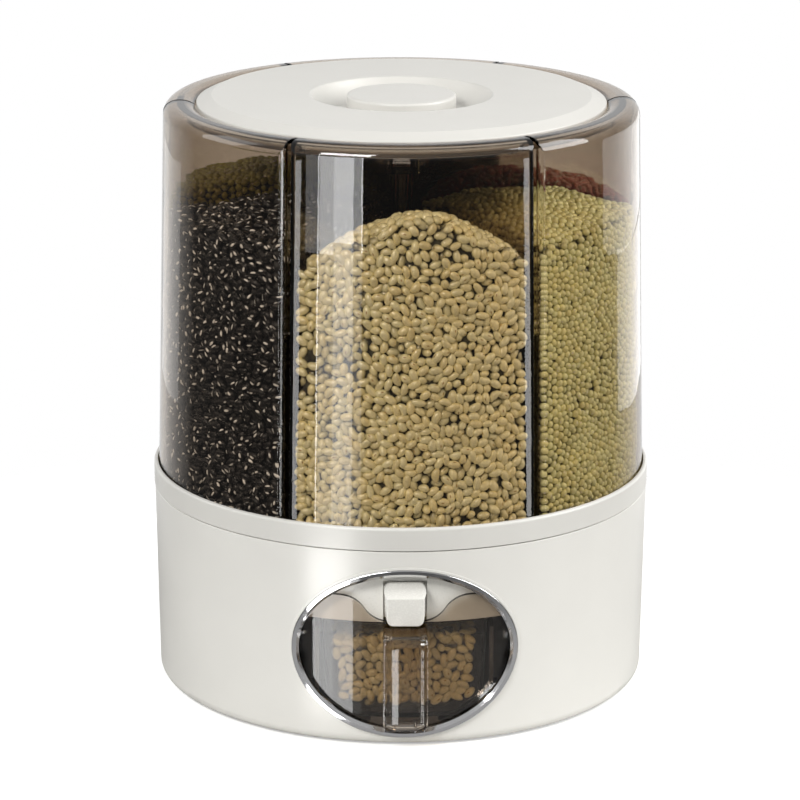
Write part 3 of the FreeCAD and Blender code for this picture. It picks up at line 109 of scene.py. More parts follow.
# Coat of each grain: its eye's colour, roughness of the seed and of its waxy coat, and how much
# darker the darkest grains are
GRAIN_COAT = {
    "soybean": ("B08A4C", 0.36, 0.25, 0.12),
    "mung_bean": ("E8E2CC", 0.26, 0.25, 0.2),
    "adzuki_bean": ("E8E2CC", 0.26, 0.25, 0.2),
    "red_sorghum": ("5A2A1A", 0.45, 0.25, 0.2),
    "green_mung_bean": ("E8E2CC", 0.26, 0.25, 0.2),
    "black_bean": ("FDFBF7", 0.14, 0.15, 0.3),
}

# Layers of seeds: how deep each lies, in seed thicknesses, and how tightly it is packed
WALL_LAYERS = ((0.0, 1.17), (0.62, 1.05))
HEAP_LAYERS = ((0.0, 0.98), (0.7, 1.0))
CUP_WALL_LAYERS = ((0.0, 1.06), (0.7, 1.0), (1.6, 0.6))
CUP_HEAP_LAYERS = ((0.0, 1.0), (0.8, 1.0))
SIDE_CROWDING = 1.04                # packing along a bin's side walls
SIDE_FROM_Z = 0.225                 # side walls show over a neighbour's heap from this height up,
SIDE_FROM_R = 0.018                 # from this far off the axis
SIDE_LONG = 0.112                   # and over this length
DEPTH_FROM_R = 0.026                # the dark depth behind the seeds starts this far off the axis

# Lamps: angle off the window's direction, distance from the axis, height, width and height of the
# lamp's face, and how bright it is
LAMPS = {
    "key_front": (-28.0, 1.5, 1.25, 0.7, 0.5, 20.8),
    "fill_right": (80.0, 1.4, 0.95, 0.9, 1.2, 7.6),
    "fill_left": (-95.0, 1.4, 0.9, 0.7, 1.0, 2.4),
}
LAMP_TARGET = (0.0, 0.0, 0.2)

# Upright strips that only show in the gloss of the drum, the window's ring and the cup: from and to
# which angle off the window's direction, from and to which height, at which radius, how bright
MIRRORED = {
    "strip_dim_high": (-29.8, -25.8, 0.268, 0.345, 0.185, 1.8),
    "strip_grey_high": (-25.4, -21.0, 0.268, 0.345, 0.185, 8.0),
    "strip_grey_middle": (-25.4, -21.0, 0.100, 0.268, 0.185, 2.7),
    "strip_grey_low": (-27.3, -21.0, 0.0, 0.100, 0.185, 7.4),
    "strip_bright_high": (-21.0, -15.0, 0.275, 0.345, 0.185, 11.0),
    "strip_bright_middle": (-21.0, -15.0, 0.100, 0.275, 0.185, 5.0),
    "strip_bright_low": (-21.0, -15.0, 0.0, 0.100, 0.185, 6.3),
    "strip_cool_high": (-15.0, -12.4, 0.281, 0.345, 0.185, 4.7),
    "strip_cool_middle": (-15.0, -12.4, 0.100, 0.281, 0.185, 1.8),
    "strip_cool_low": (-15.0, -12.4, 0.0, 0.100, 0.185, 0.5),
    "strip_edge_left": (-25.8, -25.4, 0.100, 0.345, 0.183, 11.0),
    "strip_edge_right": (-12.6, -12.2, 0.270, 0.345, 0.183, 9.0),
    "strap_glint": (-2.1, -1.0, 0.0, 0.060, 0.190, 7.5),
    "corner_left": (-36.4, -35.0, 0.085, 0.31, 0.233, 5.0),
    "corner_right": (41.0, 42.4, 0.085, 0.31, 0.2305, 5.0),
    "veil_right_high": (101.0, 152.0, 0.14, 0.30, 0.62, 1.1),
    "veil_right_low": (113.0, 152.0, 0.02, 0.14, 0.62, 1.1),
    "veil_left": (-150.0, -121.0, 0.025, 0.20, 0.62, 0.45),
}


def linear(code):
    """An sRGB hex colour as linear red, green, blue and alpha."""
    values = [int(code[i:i + 2], 16) / 255.0 for i in (0, 2, 4)]
    return tuple(
        v / 12.92 if v <= 0.04045 else ((v + 0.055) / 1.055) ** 2.4 for v in values) + (1.0,)


def colour_prop(name, description, code):
    return bpy.props.FloatVectorProperty(
        name=name, description=description, subtype="COLOR", size=4, min=0.0, max=1.0,
        default=linear(code))


def number_prop(name, description, value, least=0.0, unit="NONE"):
    return bpy.props.FloatProperty(
        name=name, description=description, unit=unit, default=value, min=least)


def length_prop(name, description, value):
    return number_prop(name, description, value, unit="LENGTH")


def angle_prop(name, description, degrees):
    return bpy.props.FloatProperty(
        name=name, description=description, unit="ROTATION", default=math.radians(degrees))


class DispenserFinishes(bpy.types.PropertyGroup):
    """Colours of the moulded, plated and clear pieces."""

    housing: colour_prop("Housing", "Off-white of the base's shell", "D8D6D0")
    rim: colour_prop("Turntable", "Off-white of the turntable and its rim", "CECCC6")
    lid: colour_prop("Lid", "Off-white of the lid and its knob", "D0CEC8")
    hood: colour_prop("Hood", "Off-white of the hood behind the window and the button", "DCDAD3")
    chrome: colour_prop("Chrome", "Colour of the plated ring", "E0E0E1")
    smoke: colour_prop("Smoke", "Share of each colour that the smoke lets past", "A27C00")
    smoke_density: number_prop(
        "Smoke density", "Light that the bins' plastic takes, per metre", 182.0)
    cup_density: number_prop("Cup density", "Light that the cup's plastic takes, per metre", 182.0)
    inside: colour_prop("Inside", "Grey plastic of the deck, gate and floor", "B9B7B1")
    tray: colour_prop("Tray", "Grey plastic of the cup's tray", "625F5B")
    silicone: colour_prop("Silicone", "Seals and gate pad", "CFCDC7")
    rubber: colour_prop("Rubber", "Feet", "3A3937")
    steel: colour_prop("Steel", "Screws, pins and spring", "B4B3B0")


class DispenserGrain(bpy.types.PropertyGroup):
    """Sizes and colours of the grain."""

    soybean: length_prop("Soybean", "Length of a soybean", 7.9 * MM)
    mung_bean: length_prop("Mung bean", "Length of a hulled mung bean", 5.0 * MM)
    adzuki_bean: length_prop("Adzuki bean", "Length of an adzuki bean", 6.2 * MM)
    red_sorghum: length_prop("Red sorghum", "Length of a grain of sorghum", 4.6 * MM)
    green_mung_bean: length_prop("Green mung bean", "Length of a green mung bean", 5.2 * MM)
    black_bean: length_prop("Black bean", "Length of a black bean", 8.2 * MM)
    soybean_colour: colour_prop("Soybean colour", "Pale cream coat", "FFF9C8")
    mung_bean_colour: colour_prop("Mung bean colour", "Pale yellow", "FCFDBE")
    adzuki_bean_colour: colour_prop("Adzuki bean colour", "Dark red coat", "C4595A")
    red_sorghum_colour: colour_prop("Red sorghum colour", "Orange-brown grain", "C46A3C")
    green_mung_bean_colour: colour_prop("Green mung bean colour", "Dull green coat", "C2C66E")
    black_bean_colour: colour_prop("Black bean colour", "Glossy black coat", "141112")


class DispenserStudio(bpy.types.PropertyGroup):
    """Camera and lamps."""

    camera_place: bpy.props.FloatVectorProperty(
        name="Camera", description="Camera's place", subtype="XYZ", unit="LENGTH", size=3,
        default=(-39.8 * MM, -2049.6 * MM, 740.7 * MM))
    camera_pitch: angle_prop("Pitch", "How far the camera looks down", 15.82)
    camera_yaw: angle_prop("Yaw", "Camera's turn about the vertical", -1.1)
    camera_roll: angle_prop("Roll", "Camera's turn about its own axis", 0.14)
    focal_length: number_prop("Focal length", "In millimetres on a 36 mm sensor", 165.7, least=1.0)
    room: number_prop("Room light", "Strength of the soft light from all round", 0.31)


def add_node(tree, kind, inputs=None, **settings):
    """Adds a node with its settings; kind is its type without ShaderNode in front. inputs maps a
    socket to a value, to the socket that feeds it, or to a node whose first output feeds it."""
    node = tree.nodes.new("ShaderNode" + kind)
    for name, value in settings.items():
        setattr(node, name, value)
    for name, value in (inputs or {}).items():
        if isinstance(value, bpy.types.Node):
            value = value.outputs[0]
        if isinstance(value, bpy.types.NodeSocket):
            tree.links.new(value, node.inputs[name])
        else:
            node.inputs[name].default_value = value
    return node


def new_material(name):
    """An empty material, the call that adds nodes to it, and the socket that says where on the
    object a point is."""
    material = bpy.data.materials.new(name)
    material.use_nodes = True
    tree = material.node_tree
    tree.nodes.clear()
    add = partial(add_node, tree)
    return material, add, add("TexCoord").outputs["Object"]


def moulded_plastic(name, colour, roughness):
    """Injection-moulded ABS: the eye gets a satin sheen broken by the mould's fine spark-eroded
    grain, and a very slight cloudiness in the colour. The grain is drawn at 0.9 mm, coarser than
    real, so that it shows."""
    material, add, place = new_material(name)
    cloud = add("TexNoise", {"Vector": place, "Scale": 1 / (38 * MM), "Detail": 3.0})
    fine = add("TexNoise", {"Vector": place, "Scale": 1 / (0.9 * MM), "Detail": 2.0})
    shade = add("MapRange", {**NOISE_SPAN, "Value": cloud, "To Min": 0.97, "To Max": 1.0})
    tint = add("VectorMath", {0: colour[:3], "Scale": shade}, operation="SCALE")
    rough = add("MapRange", {
        **NOISE_SPAN, "Value": fine, "To Min": roughness - 0.05, "To Max": roughness + 0.05})
    bump = add("Bump", {"Height": fine, "Strength": 0.03, "Distance": 0.2 * MM})
    shader = add("BsdfPrincipled", {
        "Base Color": tint, "Roughness": rough, "Normal": bump, "IOR": 1.52})
    add("OutputMaterial", {"Surface": shader})
    return material


def chrome_plate(name, colour):
    """Bright chrome plated on moulded ABS: the eye gets mirror streaks of the studio, softened by
    a faint haze and the slight waviness of the plastic under the plate."""
    material, add, place = new_material(name)
    wave = add("TexNoise", {"Vector": place, "Scale": 1 / (14 * MM), "Detail": 1.0})
    haze = add("TexNoise", {"Vector": place, "Scale": 1 / (3 * MM), "Detail": 4.0})
    rough = add("MapRange", {**NOISE_SPAN, "Value": haze, "To Min": 0.05, "To Max": 0.13})
    bump = add("Bump", {"Height": wave, "Strength": 0.12, "Distance": 1.0 * MM})
    shader = add("BsdfPrincipled", {
        "Base Color": colour, "Metallic": 1.0, "Roughness": rough, "Normal": bump})
    add("OutputMaterial", {"Surface": shader})
    return material


def clear_styrene(name, colour, density):
    """Clear, smoke-tinted styrene from a polished mould: the eye gets sharp reflections, dark
    edges where the wall is seen along its length, and a faint waviness. Lamps and bounced light
    pass straight through, so that what is inside is lit."""
    material, add, place = new_material(name)
    wave = add("TexNoise", {"Vector": place, "Scale": 1 / (22 * MM), "Detail": 1.0})
    smear = add("TexNoise", {"Vector": place, "Scale": 1 / (9 * MM), "Detail": 3.0})
    rough = add("MapRange", {
        "Value": smear, "From Min": 0.35, "From Max": 0.75, "To Min": 0.008, "To Max": 0.02})
    bump = add("Bump", {"Height": wave, "Strength": 0.02, "Distance": 1.0 * MM})
    glass = add("BsdfPrincipled", {
        "Base Color": WHITE, "Roughness": rough, "IOR": 1.52, "Transmission Weight": 1.0,
        "Normal": bump})
    through = add("BsdfTransparent")
    path = add("LightPath")
    lit = add("Math", {
        0: path.outputs["Is Shadow Ray"], 1: path.outputs["Is Diffuse Ray"]}, operation="MAXIMUM")
    surface = add("MixShader", {"Fac": lit, 1: glass, 2: through})
    body = add("VolumeAbsorption", {"Color": colour, "Density": density})
    add("OutputMaterial", {"Surface": surface, "Volume": body})
    return material


def turned_steel(name, colour, roughness):
    """Zinc-plated steel: the eye gets a soft grey metal with fine uneven dullness."""
    material, add, place = new_material(name)
    dull = add("TexNoise", {"Vector": place, "Scale": 1 / (1.2 * MM), "Detail": 4.0})
    rough = add("MapRange", {
        **NOISE_SPAN, "Value": dull, "To Min": roughness - 0.08, "To Max": roughness + 0.1})
    shader = add("BsdfPrincipled", {"Base Color": colour, "Metallic": 1.0, "Roughness": rough})
    add("OutputMaterial", {"Surface": shader})
    return material


def cast_rubber(name, colour, roughness):
    """Moulded rubber or silicone: the eye gets a matt, slightly dusty surface without glints."""
    material, add, place = new_material(name)
    dust = add("TexNoise", {"Vector": place, "Scale": 1 / (4 * MM), "Detail": 4.0})
    shade = add("MapRange", {**NOISE_SPAN, "Value": dust, "To Min": 0.92, "To Max": 1.05})
    tint = add("VectorMath", {0: colour[:3], "Scale": shade}, operation="SCALE")
    bump = add("Bump", {"Height": dust, "Strength": 0.08, "Distance": 0.3 * MM})
    shader = add("BsdfPrincipled", {
        "Base Color": tint, "Roughness": roughness, "IOR": 1.45, "Normal": bump})
    add("OutputMaterial", {"Surface": shader})
    return material


def seed_coat(name, colour, eye_size, eye_colour, roughness, coat_roughness, spread):
    """Dry seeds: the eye gets a waxy coat, a pale or dark eye on one side, and seeds that differ in
    tone and hue, with painted shade that darkens them where they lie deep. The attribute bean
    holds each seed's own coordinates, tone one number per seed, and sunk how deep a point lies,
    in seed thicknesses."""
    material, add, place = new_material(name)
    own = add("Attribute", attribute_name="bean")
    tone = add("Attribute", attribute_name="tone").outputs["Fac"]
    skin = add("TexNoise", {"Vector": place, "Scale": 1 / (1.6 * MM), "Detail": 3.0})
    shade = add("MapRange", {"Value": tone, "To Min": 1 - spread, "To Max": 1.0})
    mottle = add("MapRange", {**NOISE_SPAN, "Value": skin, "To Min": 0.9, "To Max": 1.04})
    both = add("Math", {0: shade, 1: mottle}, operation="MULTIPLY")
    sunk = add("Attribute", attribute_name="sunk").outputs["Fac"]
    # painted shade: points on a seed's hidden side or in a lower layer are drawn darker, in place
    # of the shade between seeds
    painted_gap_shade = add("MapRange", {
        "Value": sunk, "From Min": 0.38, "From Max": 1.15, "To Min": 1.0, "To Max": 0.08})
    both = add("Math", {0: both, 1: painted_gap_shade}, operation="MULTIPLY")
    # a second number per seed, for its hue
    often = add("Math", {0: tone, 1: 7.3}, operation="MULTIPLY")
    other = add("Math", {0: often}, operation="FRACT")
    warmer = (colour[0], colour[1] * 0.93, colour[2] * 0.80, 1.0)
    hue = add("Mix", {"Factor": other, 6: colour, 7: warmer}, data_type="RGBA")
    coat_colour = add("VectorMath", {0: hue.outputs[2], "Scale": both}, operation="SCALE")
    across = add("VectorMath", {
        0: own.outputs["Vector"], 1: (1 / eye_size[0], 0.0, 1 / eye_size[1])}, operation="MULTIPLY")
    reach = add("VectorMath", {0: across}, operation="LENGTH")
    near = add("MapRange", {
        "Value": reach.outputs["Value"], "From Min": 0.75, "From Max": 1.25,
        "To Min": 1.0, "To Max": 0.0})
    side = add("SeparateXYZ", {"Vector": own.outputs["Vector"]})
    facing = add("Math", {0: side.outputs["Y"], 1: 0.5}, operation="GREATER_THAN")
    eye = add("Math", {0: near, 1: facing}, operation="MULTIPLY")
    paint = add("Mix", {"Factor": eye, 6: coat_colour, 7: eye_colour}, data_type="RGBA")
    shader = add("BsdfPrincipled", {
        "Base Color": paint.outputs[2], "Roughness": roughness, "IOR": 1.5,
        "Coat Weight": 1.0, "Coat Roughness": coat_roughness, "Coat IOR": 1.65})
    add("OutputMaterial", {"Surface": shader})
    return material


def grain_shade(name, colour):
    """Painted shade for the depth between grains: a dark block drawn as lumps of the same grain in
    each other's shade.
    """
    material, add, place = new_material(name)
    lumps = add("TexVoronoi", {"Vector": place, "Scale": 1 / (6 * MM)})
    # painted shade: the block is drawn at a small share of the grain's own colour
    shade = add("MapRange", {
        "Value": lumps, "From Min": 0.1, "From Max": 0.6, "To Min": 0.12, "To Max": 0.02})
    tint = add("VectorMath", {0: colour[:3], "Scale": shade}, operation="SCALE")
    shader = add("BsdfPrincipled", {"Base Color": tint, "Roughness": 0.8})
    add("OutputMaterial", {"Surface": shader})
    return material


def finish_nodes(material, *names):
    """Gives CAD nodes a material through their slots."""
    for name in names:
        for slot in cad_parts[name].material_slots:
            slot.material = material


def clear_selection():
    if bpy.context.mode != "OBJECT":
        bpy.ops.object.mode_set(mode="OBJECT")
    bpy.ops.object.select_all(action="DESELECT")


def aim(place, target):
    """Rotation that points a lamp at a target."""
    return (Vector(target) - Vector(place)).to_track_quat("-Z", "Y").to_euler()


def add_softbox(name, place, target, wide, tall, radiance, only_mirrored=False):
    """A soft rectangular lamp, given by the brightness of its face. One that is only mirrored
    shows in gloss and lights nothing."""
    clear_selection()
    bpy.ops.object.light_add(type="AREA", location=place, rotation=aim(place, target))
    lamp = bpy.context.object
    lamp.name = name
    lamp.data.shape = "RECTANGLE"
    lamp.data.size = wide
    lamp.data.size_y = tall
    lamp.data.energy = radiance * math.pi * wide * tall
    lamp.visible_camera = False
    lamp.visible_diffuse = not only_mirrored
    lamp.visible_transmission = False


def around_axis(radius, degrees, z):
    """Point at an angle from the window's direction, towards +X."""
    turn = math.radians(degrees)
    return (radius * math.sin(turn), -radius * math.cos(turn), z)


def ray_switches(add):
    """Two nodes: 1 where light is seen directly, in gloss or through clear plastic, and 1 where it
    is seen in a mirror image."""
    path = add("LightPath")
    seen = add("Math", {
        0: path.outputs["Is Camera Ray"], 1: path.outputs["Is Glossy Ray"]}, operation="MAXIMUM")
    seen = add("Math", {0: seen, 1: path.outputs["Is Transmission Ray"]}, operation="MAXIMUM")
    mirrored = add("Math", {0: path.outputs["Glossy Depth"], 1: 0.5}, operation="GREATER_THAN")
    return seen, mirrored


class DISPENSER_OT_stage(bpy.types.Operator):
    """Floor, background, lamps and camera"""

    bl_idname = "dispenser.stage"
    bl_label = "Studio and Camera"

    def execute(self, context):
        studio = context.scene.dispenser_studio
        self.make_floor()
        self.make_world(context.scene, studio.room)
        for name, (degrees, radius, height, wide, tall, radiance) in LAMPS.items():
            place = around_axis(radius, degrees, height)
            add_softbox(name, place, LAMP_TARGET, wide, tall, radiance)
        for name, (start, end, low, high, radius, radiance) in MIRRORED.items():
            wide = 2 * radius * math.tan(math.radians(end - start) / 2)
            height = (low + high) / 2
            place = around_axis(radius, (start + end) / 2, height)
            add_softbox(name, place, (0, 0, height), wide, high - low, radiance, only_mirrored=True)
        self.make_camera(context, studio)
        context.scene.view_settings.view_transform = "Standard"
        return {"FINISHED"}

    def make_floor(self):
        """Pale matt floor that fades into the background and keeps the object's soft shadow."""
        clear_selection()
        bpy.ops.mesh.primitive_circle_add(vertices=96, radius=0.5, fill_type="NGON")
        floor = bpy.context.object
        floor.name = "floor"
        material, add, place = new_material("pale_matt_floor")
        away = add("VectorMath", {0: place}, operation="LENGTH")
        edge = add("MapRange", {"Value": away.outputs["Value"], "From Min": 0.28, "From Max": 0.46})
        seen, mirrored = ray_switches(add)
        matt = add("BsdfDiffuse", {"Color": linear("E6E6E4")})
        lift = add("Emission", {"Color": WHITE, "Strength": 0.42})
        bright = add("AddShader", {0: matt, 1: lift})
        shown = add("MixShader", {"Fac": seen, 1: matt, 2: bright})
        dim = add("BsdfDiffuse", {"Color": (0.30, 0.30, 0.30, 1.0)})
        viewed = add("MixShader", {"Fac": mirrored, 1: shown, 2: dim})
        clear = add("BsdfTransparent")
        faded = add("MixShader", {"Fac": edge, 1: viewed, 2: clear})
        add("OutputMaterial", {"Surface": faded})
        floor.data.materials.append(material)

    def make_world(self, scene, strength):
        """Even pale room light. Seen directly or through glass it is a white background. Gloss
        mirrors that background only behind the object: in front the room is dim, brighter above."""
        world = bpy.data.worlds.new("pale_studio")
        world.use_nodes = True
        world.node_tree.nodes.clear()
        add = partial(add_node, world.node_tree)
        way = add("TexCoord").outputs["Generated"]
        parts = add("SeparateXYZ", {"Vector": way})
        behind = add("MapRange", {
            "Value": parts.outputs["Y"], "From Min": 0.45, "From Max": 0.85,
            "To Min": 0.08, "To Max": 0.9})
        above = add("MapRange", {
            "Value": parts.outputs["Z"], "From Min": -0.05, "From Max": 0.35,
            "To Min": 0.08, "To Max": 0.45})
        room = add("Math", {0: behind, 1: above}, operation="MAXIMUM")
        seen, mirrored = ray_switches(add)
        level = add("Mix", {"Factor": mirrored, 2: 1.0, 3: room}, data_type="FLOAT")
        light = add("Background", {"Color": WHITE, "Strength": strength})
        backdrop = add("Background", {"Color": WHITE, "Strength": level})
        both = add("MixShader", {"Fac": seen, 1: light, 2: backdrop})
        add("OutputWorld", {"Surface": both})
        scene.world = world

    def make_camera(self, context, studio):
        clear_selection()
        bpy.ops.object.camera_add(location=studio.camera_place)
        camera = bpy.context.object
        camera.name = "product_camera"
        turn = (Matrix.Rotation(studio.camera_yaw, 3, "Z")
                @ Matrix.Rotation(math.pi / 2 - studio.camera_pitch, 3, "X")
                @ Matrix.Rotation(studio.camera_roll, 3, "Z"))
        camera.rotation_euler = turn.to_euler()
        camera.data.sensor_width = 36.0
        camera.data.lens = studio.focal_length
        camera.data.clip_start = 0.1
        context.scene.camera = camera


class DISPENSER_OT_shells(bpy.types.Operator):
    """White moulded shells: base, turntable, lid, knob, hood and button"""

    bl_idname = "dispenser.shells"
    bl_label = "White Shells"

    def execute(self, context):
        looks = context.scene.dispenser_finishes
        finish_nodes(moulded_plastic("satin_abs_housing", looks.housing, 0.34), "base_housing")
        finish_nodes(moulded_plastic("satin_abs_turntable", looks.rim, 0.38), "turntable")
        finish_nodes(moulded_plastic("satin_abs_lid", looks.lid, 0.40), "lid", "lid_knob")
        finish_nodes(moulded_plastic("satin_abs_hood", looks.hood, 0.30),
                     "outlet_chute", "push_button")
        return {"FINISHED"}


def finish_mesh(name, material, width, segments):
    """Rounds the edges of the object in hand and gives it a name and a material."""
    piece = bpy.context.object
    piece.name = name
    bevel = piece.modifiers.new("rounded_edges", "BEVEL")
    bevel.width = width
    bevel.segments = segments
    bevel.limit_method = "ANGLE"
    bevel.angle_limit = math.radians(28.0)
    bpy.ops.object.modifier_apply(modifier=bevel.name)
    bpy.ops.object.shade_smooth_by_angle(angle=math.radians(40.0))
    piece.data.materials.append(material)
    return piece


def edit_all():
    """Enters edit mode with the whole mesh selected."""
    bpy.ops.object.mode_set(mode="EDIT")
    bpy.ops.mesh.select_all(action="SELECT")


def edit_some(kind, test):
    """Enters edit mode with the edges or points that pass a test selected."""
    bpy.ops.object.mode_set(mode="EDIT")
    bpy.ops.mesh.select_mode(type=kind)
    bpy.ops.mesh.select_all(action="DESELECT")
    bpy.ops.object.mode_set(mode="OBJECT")
    mesh = bpy.context.object.data
    for part in mesh.edges if kind == "EDGE" else mesh.vertices:
        part.select = bool(test(part))
    bpy.ops.object.mode_set(mode="EDIT")


def extrude(*way):
    bpy.ops.mesh.extrude_region_move(TRANSFORM_OT_translate={"value": way})


def add_block_piece(low, high):
    """A block between two corners, with its place and size in its mesh."""
    clear_selection()
    middle = [(a + b) / 2 for a, b in zip(low, high)]
    bpy.ops.mesh.primitive_cube_add(size=1.0, location=middle)
    bpy.context.object.scale = [b - a for a, b in zip(low, high)]
    bpy.ops.object.transform_apply(location=True, rotation=True, scale=True)
    return bpy.context.object


class DISPENSER_OT_button(bpy.types.Operator):
    """Push button with a sloping top and rounded corners"""

    bl_idname = "dispenser.button"
    bl_label = "Push Button"

    def execute(self, context):
        low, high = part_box("push_button")
        flange_w, flange_t = 3.2 * MM, 2.2 * MM
        tuck = 0.4 * MM                 # by which the cap stays behind the flange's back
        face_h = 15.8 * MM              # height of the upright face, below the sloping top
        slope_run = 11.5 * MM           # depth over which the top slopes up
        half = high[0] - flange_w
        top = high[2] - flange_w
        cap = add_block_piece((-half, low[1], low[2]), (half, high[1] - tuck, top))
        points = cap.data.vertices
        edit_some("EDGE", lambda edge: abs(
            points[edge.vertices[0]].co.y - points[edge.vertices[1]].co.y) > 5 * MM)
        bpy.ops.mesh.bevel(offset=4.0 * MM, segments=6, profile=0.5, affect="EDGES")
        bpy.ops.mesh.select_all(action="SELECT")
        face_z = low[2] + face_h
        slope = Vector((0.0, face_z - top, slope_run)).normalized()
        bpy.ops.mesh.bisect(
            plane_co=(0, low[1], face_z), plane_no=slope, use_fill=True, clear_outer=True)
        edit_some("VERT", lambda point: point.co.y < low[1] + 0.1 * MM)
        bpy.ops.transform.resize(value=(0.88, 1.0, 1.0), center_override=(0, 0, 0))
        bpy.ops.object.mode_set(mode="OBJECT")
        looks = context.scene.dispenser_finishes
        plastic = moulded_plastic("satin_abs_button", looks.hood, 0.26)
        cap = finish_mesh("button_cap", plastic, 1.1 * MM, 4)
        add_block_piece((-high[0], high[1] - flange_t, low[2]), (high[0], high[1], high[2]))
        flange = finish_mesh("button_flange", plastic, 0.3 * MM, 2)
        clear_selection()
        flange.select_set(True)
        cap.select_set(True)
        context.view_layer.objects.active = cap
        bpy.ops.object.join()
        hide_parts("push_button")
        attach(cap, "button")
        return {"FINISHED"}


class DISPENSER_OT_cup_strap(bpy.types.Operator):
    """The cup's strap handle: a clear band with a bead along each edge, bent back at both ends"""

    bl_idname = "dispenser.cup_strap"
    bl_label = "Cup Strap"

    def execute(self, context):
        low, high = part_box("cup_handle")
        bead, web, bend = 1.7 * MM, 0.9 * MM, 5.4 * MM
        inlet = 0.56 * MM               # by which the ends stay behind the handle's back
        foot_r = 6.4 * MM               # rounding of the foot's corners
        section = 72                    # points round the band's section
        web_share = 0.53                # of the sine: points below it lie on the web
        half = high[0]
        front, back = low[1] + bead, high[1] - inlet
        bottom, top = low[2] + bead, high[2] - bead
        clear_selection()
        bpy.ops.mesh.primitive_circle_add(vertices=section, radius=1.0)
        strap = bpy.context.object
        for number, vertex in enumerate(strap.data.vertices):
            turn = 2 * math.pi * (number + 0.5) / section
            sine = abs(math.sin(turn))
            if sine < web_share:
                across = (half - bead) * sine / web_share
                thick = web + (bead - web) * max(0.0, sine / web_share * 4 - 3) ** 2
            else:
                round_bead = (sine - web_share) / (1 - web_share) * math.pi / 2
                across = half - bead + bead * math.sin(round_bead)
                thick = bead * math.cos(round_bead)
            vertex.co = (
                math.copysign(across, math.sin(turn)), 0, math.copysign(thick, math.cos(turn)))

        def spin_round(z):
            # without a window Blender spins the other way round, so the angle is negative
            bpy.ops.mesh.spin(
                steps=8, angle=math.radians(-90), center=(0, front + bend, z), axis=(1, 0, 0))

        edit_all()
        bpy.ops.transform.translate(value=(0, back, top))
        extrude(0, front + bend - back, 0)
        spin_round(top - bend)
        # down the front, with rows close together at the foot, where the band narrows
        extrude(0, 0, bottom - top + 2 * bend + 8 * MM)
        for _ in range(8):
            extrude(0, 0, -1 * MM)
        spin_round(bottom + bend)
        extrude(0, back - front - bend, 0)
        bpy.ops.object.mode_set(mode="OBJECT")
        for vertex in strap.data.vertices:
            rise = min(max(vertex.co.z - low[2], 0.0), foot_r)
            narrow = foot_r - math.sqrt(foot_r ** 2 - (foot_r - rise) ** 2)
            vertex.co.x *= 1 - narrow / half
        edit_all()
        bpy.ops.mesh.fill_holes(sides=0)
        bpy.ops.mesh.select_all(action="SELECT")
        bpy.ops.mesh.normals_make_consistent(inside=False)
        bpy.ops.object.mode_set(mode="OBJECT")
        strap.name = "cup_strap"
        bpy.ops.object.shade_smooth()
        strap.data.materials.append(bpy.data.materials["smoky_styrene_cup"])
        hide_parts("cup_handle")
        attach(strap, "cup")
        return {"FINISHED"}


class DISPENSER_OT_window_ring(bpy.types.Operator):
    """Chrome ring round the window"""

    bl_idname = "dispenser.window_ring"
    bl_label = "Window Ring"

    def execute(self, context):
        looks = context.scene.dispenser_finishes
        finish_nodes(chrome_plate("chrome_plated_abs", looks.chrome), "window_bezel")
        return {"FINISHED"}


class DISPENSER_OT_clear_pieces(bpy.types.Operator):
    """Smoky clear pieces: bins, centre post with its cap, and the measuring cup"""

    bl_idname = "dispenser.clear_pieces"
    bl_label = "Clear Pieces"

    def execute(self, context):
        looks = context.scene.dispenser_finishes
        finish_nodes(clear_styrene("smoky_styrene_bins", looks.smoke, looks.smoke_density),
                     *BIN_GRAIN)
        finish_nodes(clear_styrene("smoky_styrene_cup", looks.smoke, looks.cup_density),
                     "cup_faceplate", "cup_body", "cup_handle")
        finish_nodes(clear_styrene("smoky_styrene_post", looks.smoke, looks.cup_density * 1.6),
                     "centre_post", "post_cap")
        return {"FINISHED"}


class DISPENSER_OT_works(bpy.types.Operator):
    """Inner pieces: deck, floor, tray, gate, bearing, screws, seals and feet"""

    bl_idname = "dispenser.works"
    bl_label = "Inner Pieces"

    def execute(self, context):
        looks = context.scene.dispenser_finishes
        finish_nodes(moulded_plastic("moulded_grey_inside", looks.inside, 0.45),
                     "base_floor", "base_deck", "gate_flap", "gate_cranks", "push_yoke",
                     "ball_cage")
        finish_nodes(moulded_plastic("moulded_grey_tray", looks.tray, 0.42), "cup_tray")
        finish_nodes(turned_steel("zinc_plated_steel", looks.steel, 0.28),
                     "floor_screws", "deck_screws", "chute_screws", "spindle", "spindle_washer",
                     "spindle_screw", "gate_pin", "knob_screw")
        finish_nodes(turned_steel("bright_steel", looks.steel, 0.16),
                     "bearing_balls", "gate_spring", "index_leaf")
        finish_nodes(cast_rubber("translucent_silicone", looks.silicone, 0.55),
                     "lid_seal", "outlet_gasket", "gate_pad")
        finish_nodes(cast_rubber("black_rubber", looks.rubber, 0.75), "rubber_feet")
        return {"FINISHED"}


def model_seed(kind, length, plain=False):
    """One seed, modelled from a sphere and resized, or a plainer one for places that hardly show.
    Returns its points in its own half sizes, its half sizes in metres, and its faces."""
    width, thick = GRAIN_SHAPE[kind][:2]
    clear_selection()
    if plain:
        bpy.ops.mesh.primitive_ico_sphere_add(subdivisions=1, radius=1.0)
    elif length > 5.5 * MM:
        bpy.ops.mesh.primitive_ico_sphere_add(subdivisions=2, radius=1.0)
    else:
        bpy.ops.mesh.primitive_uv_sphere_add(segments=8, ring_count=4, radius=1.0)
    seed = bpy.context.object
    edit_all()
    bpy.ops.mesh.quads_convert_to_tris()
    bpy.ops.transform.resize(value=(1.0, 1.0, 1.03))
    bpy.ops.object.mode_set(mode="OBJECT")
    own = np.array([v.co for v in seed.data.vertices])
    faces = np.array([list(p.vertices) for p in seed.data.polygons])
    bpy.data.objects.remove(seed)
    return own, np.array([0.5, 0.5 * width, 0.5 * thick]) * length, faces


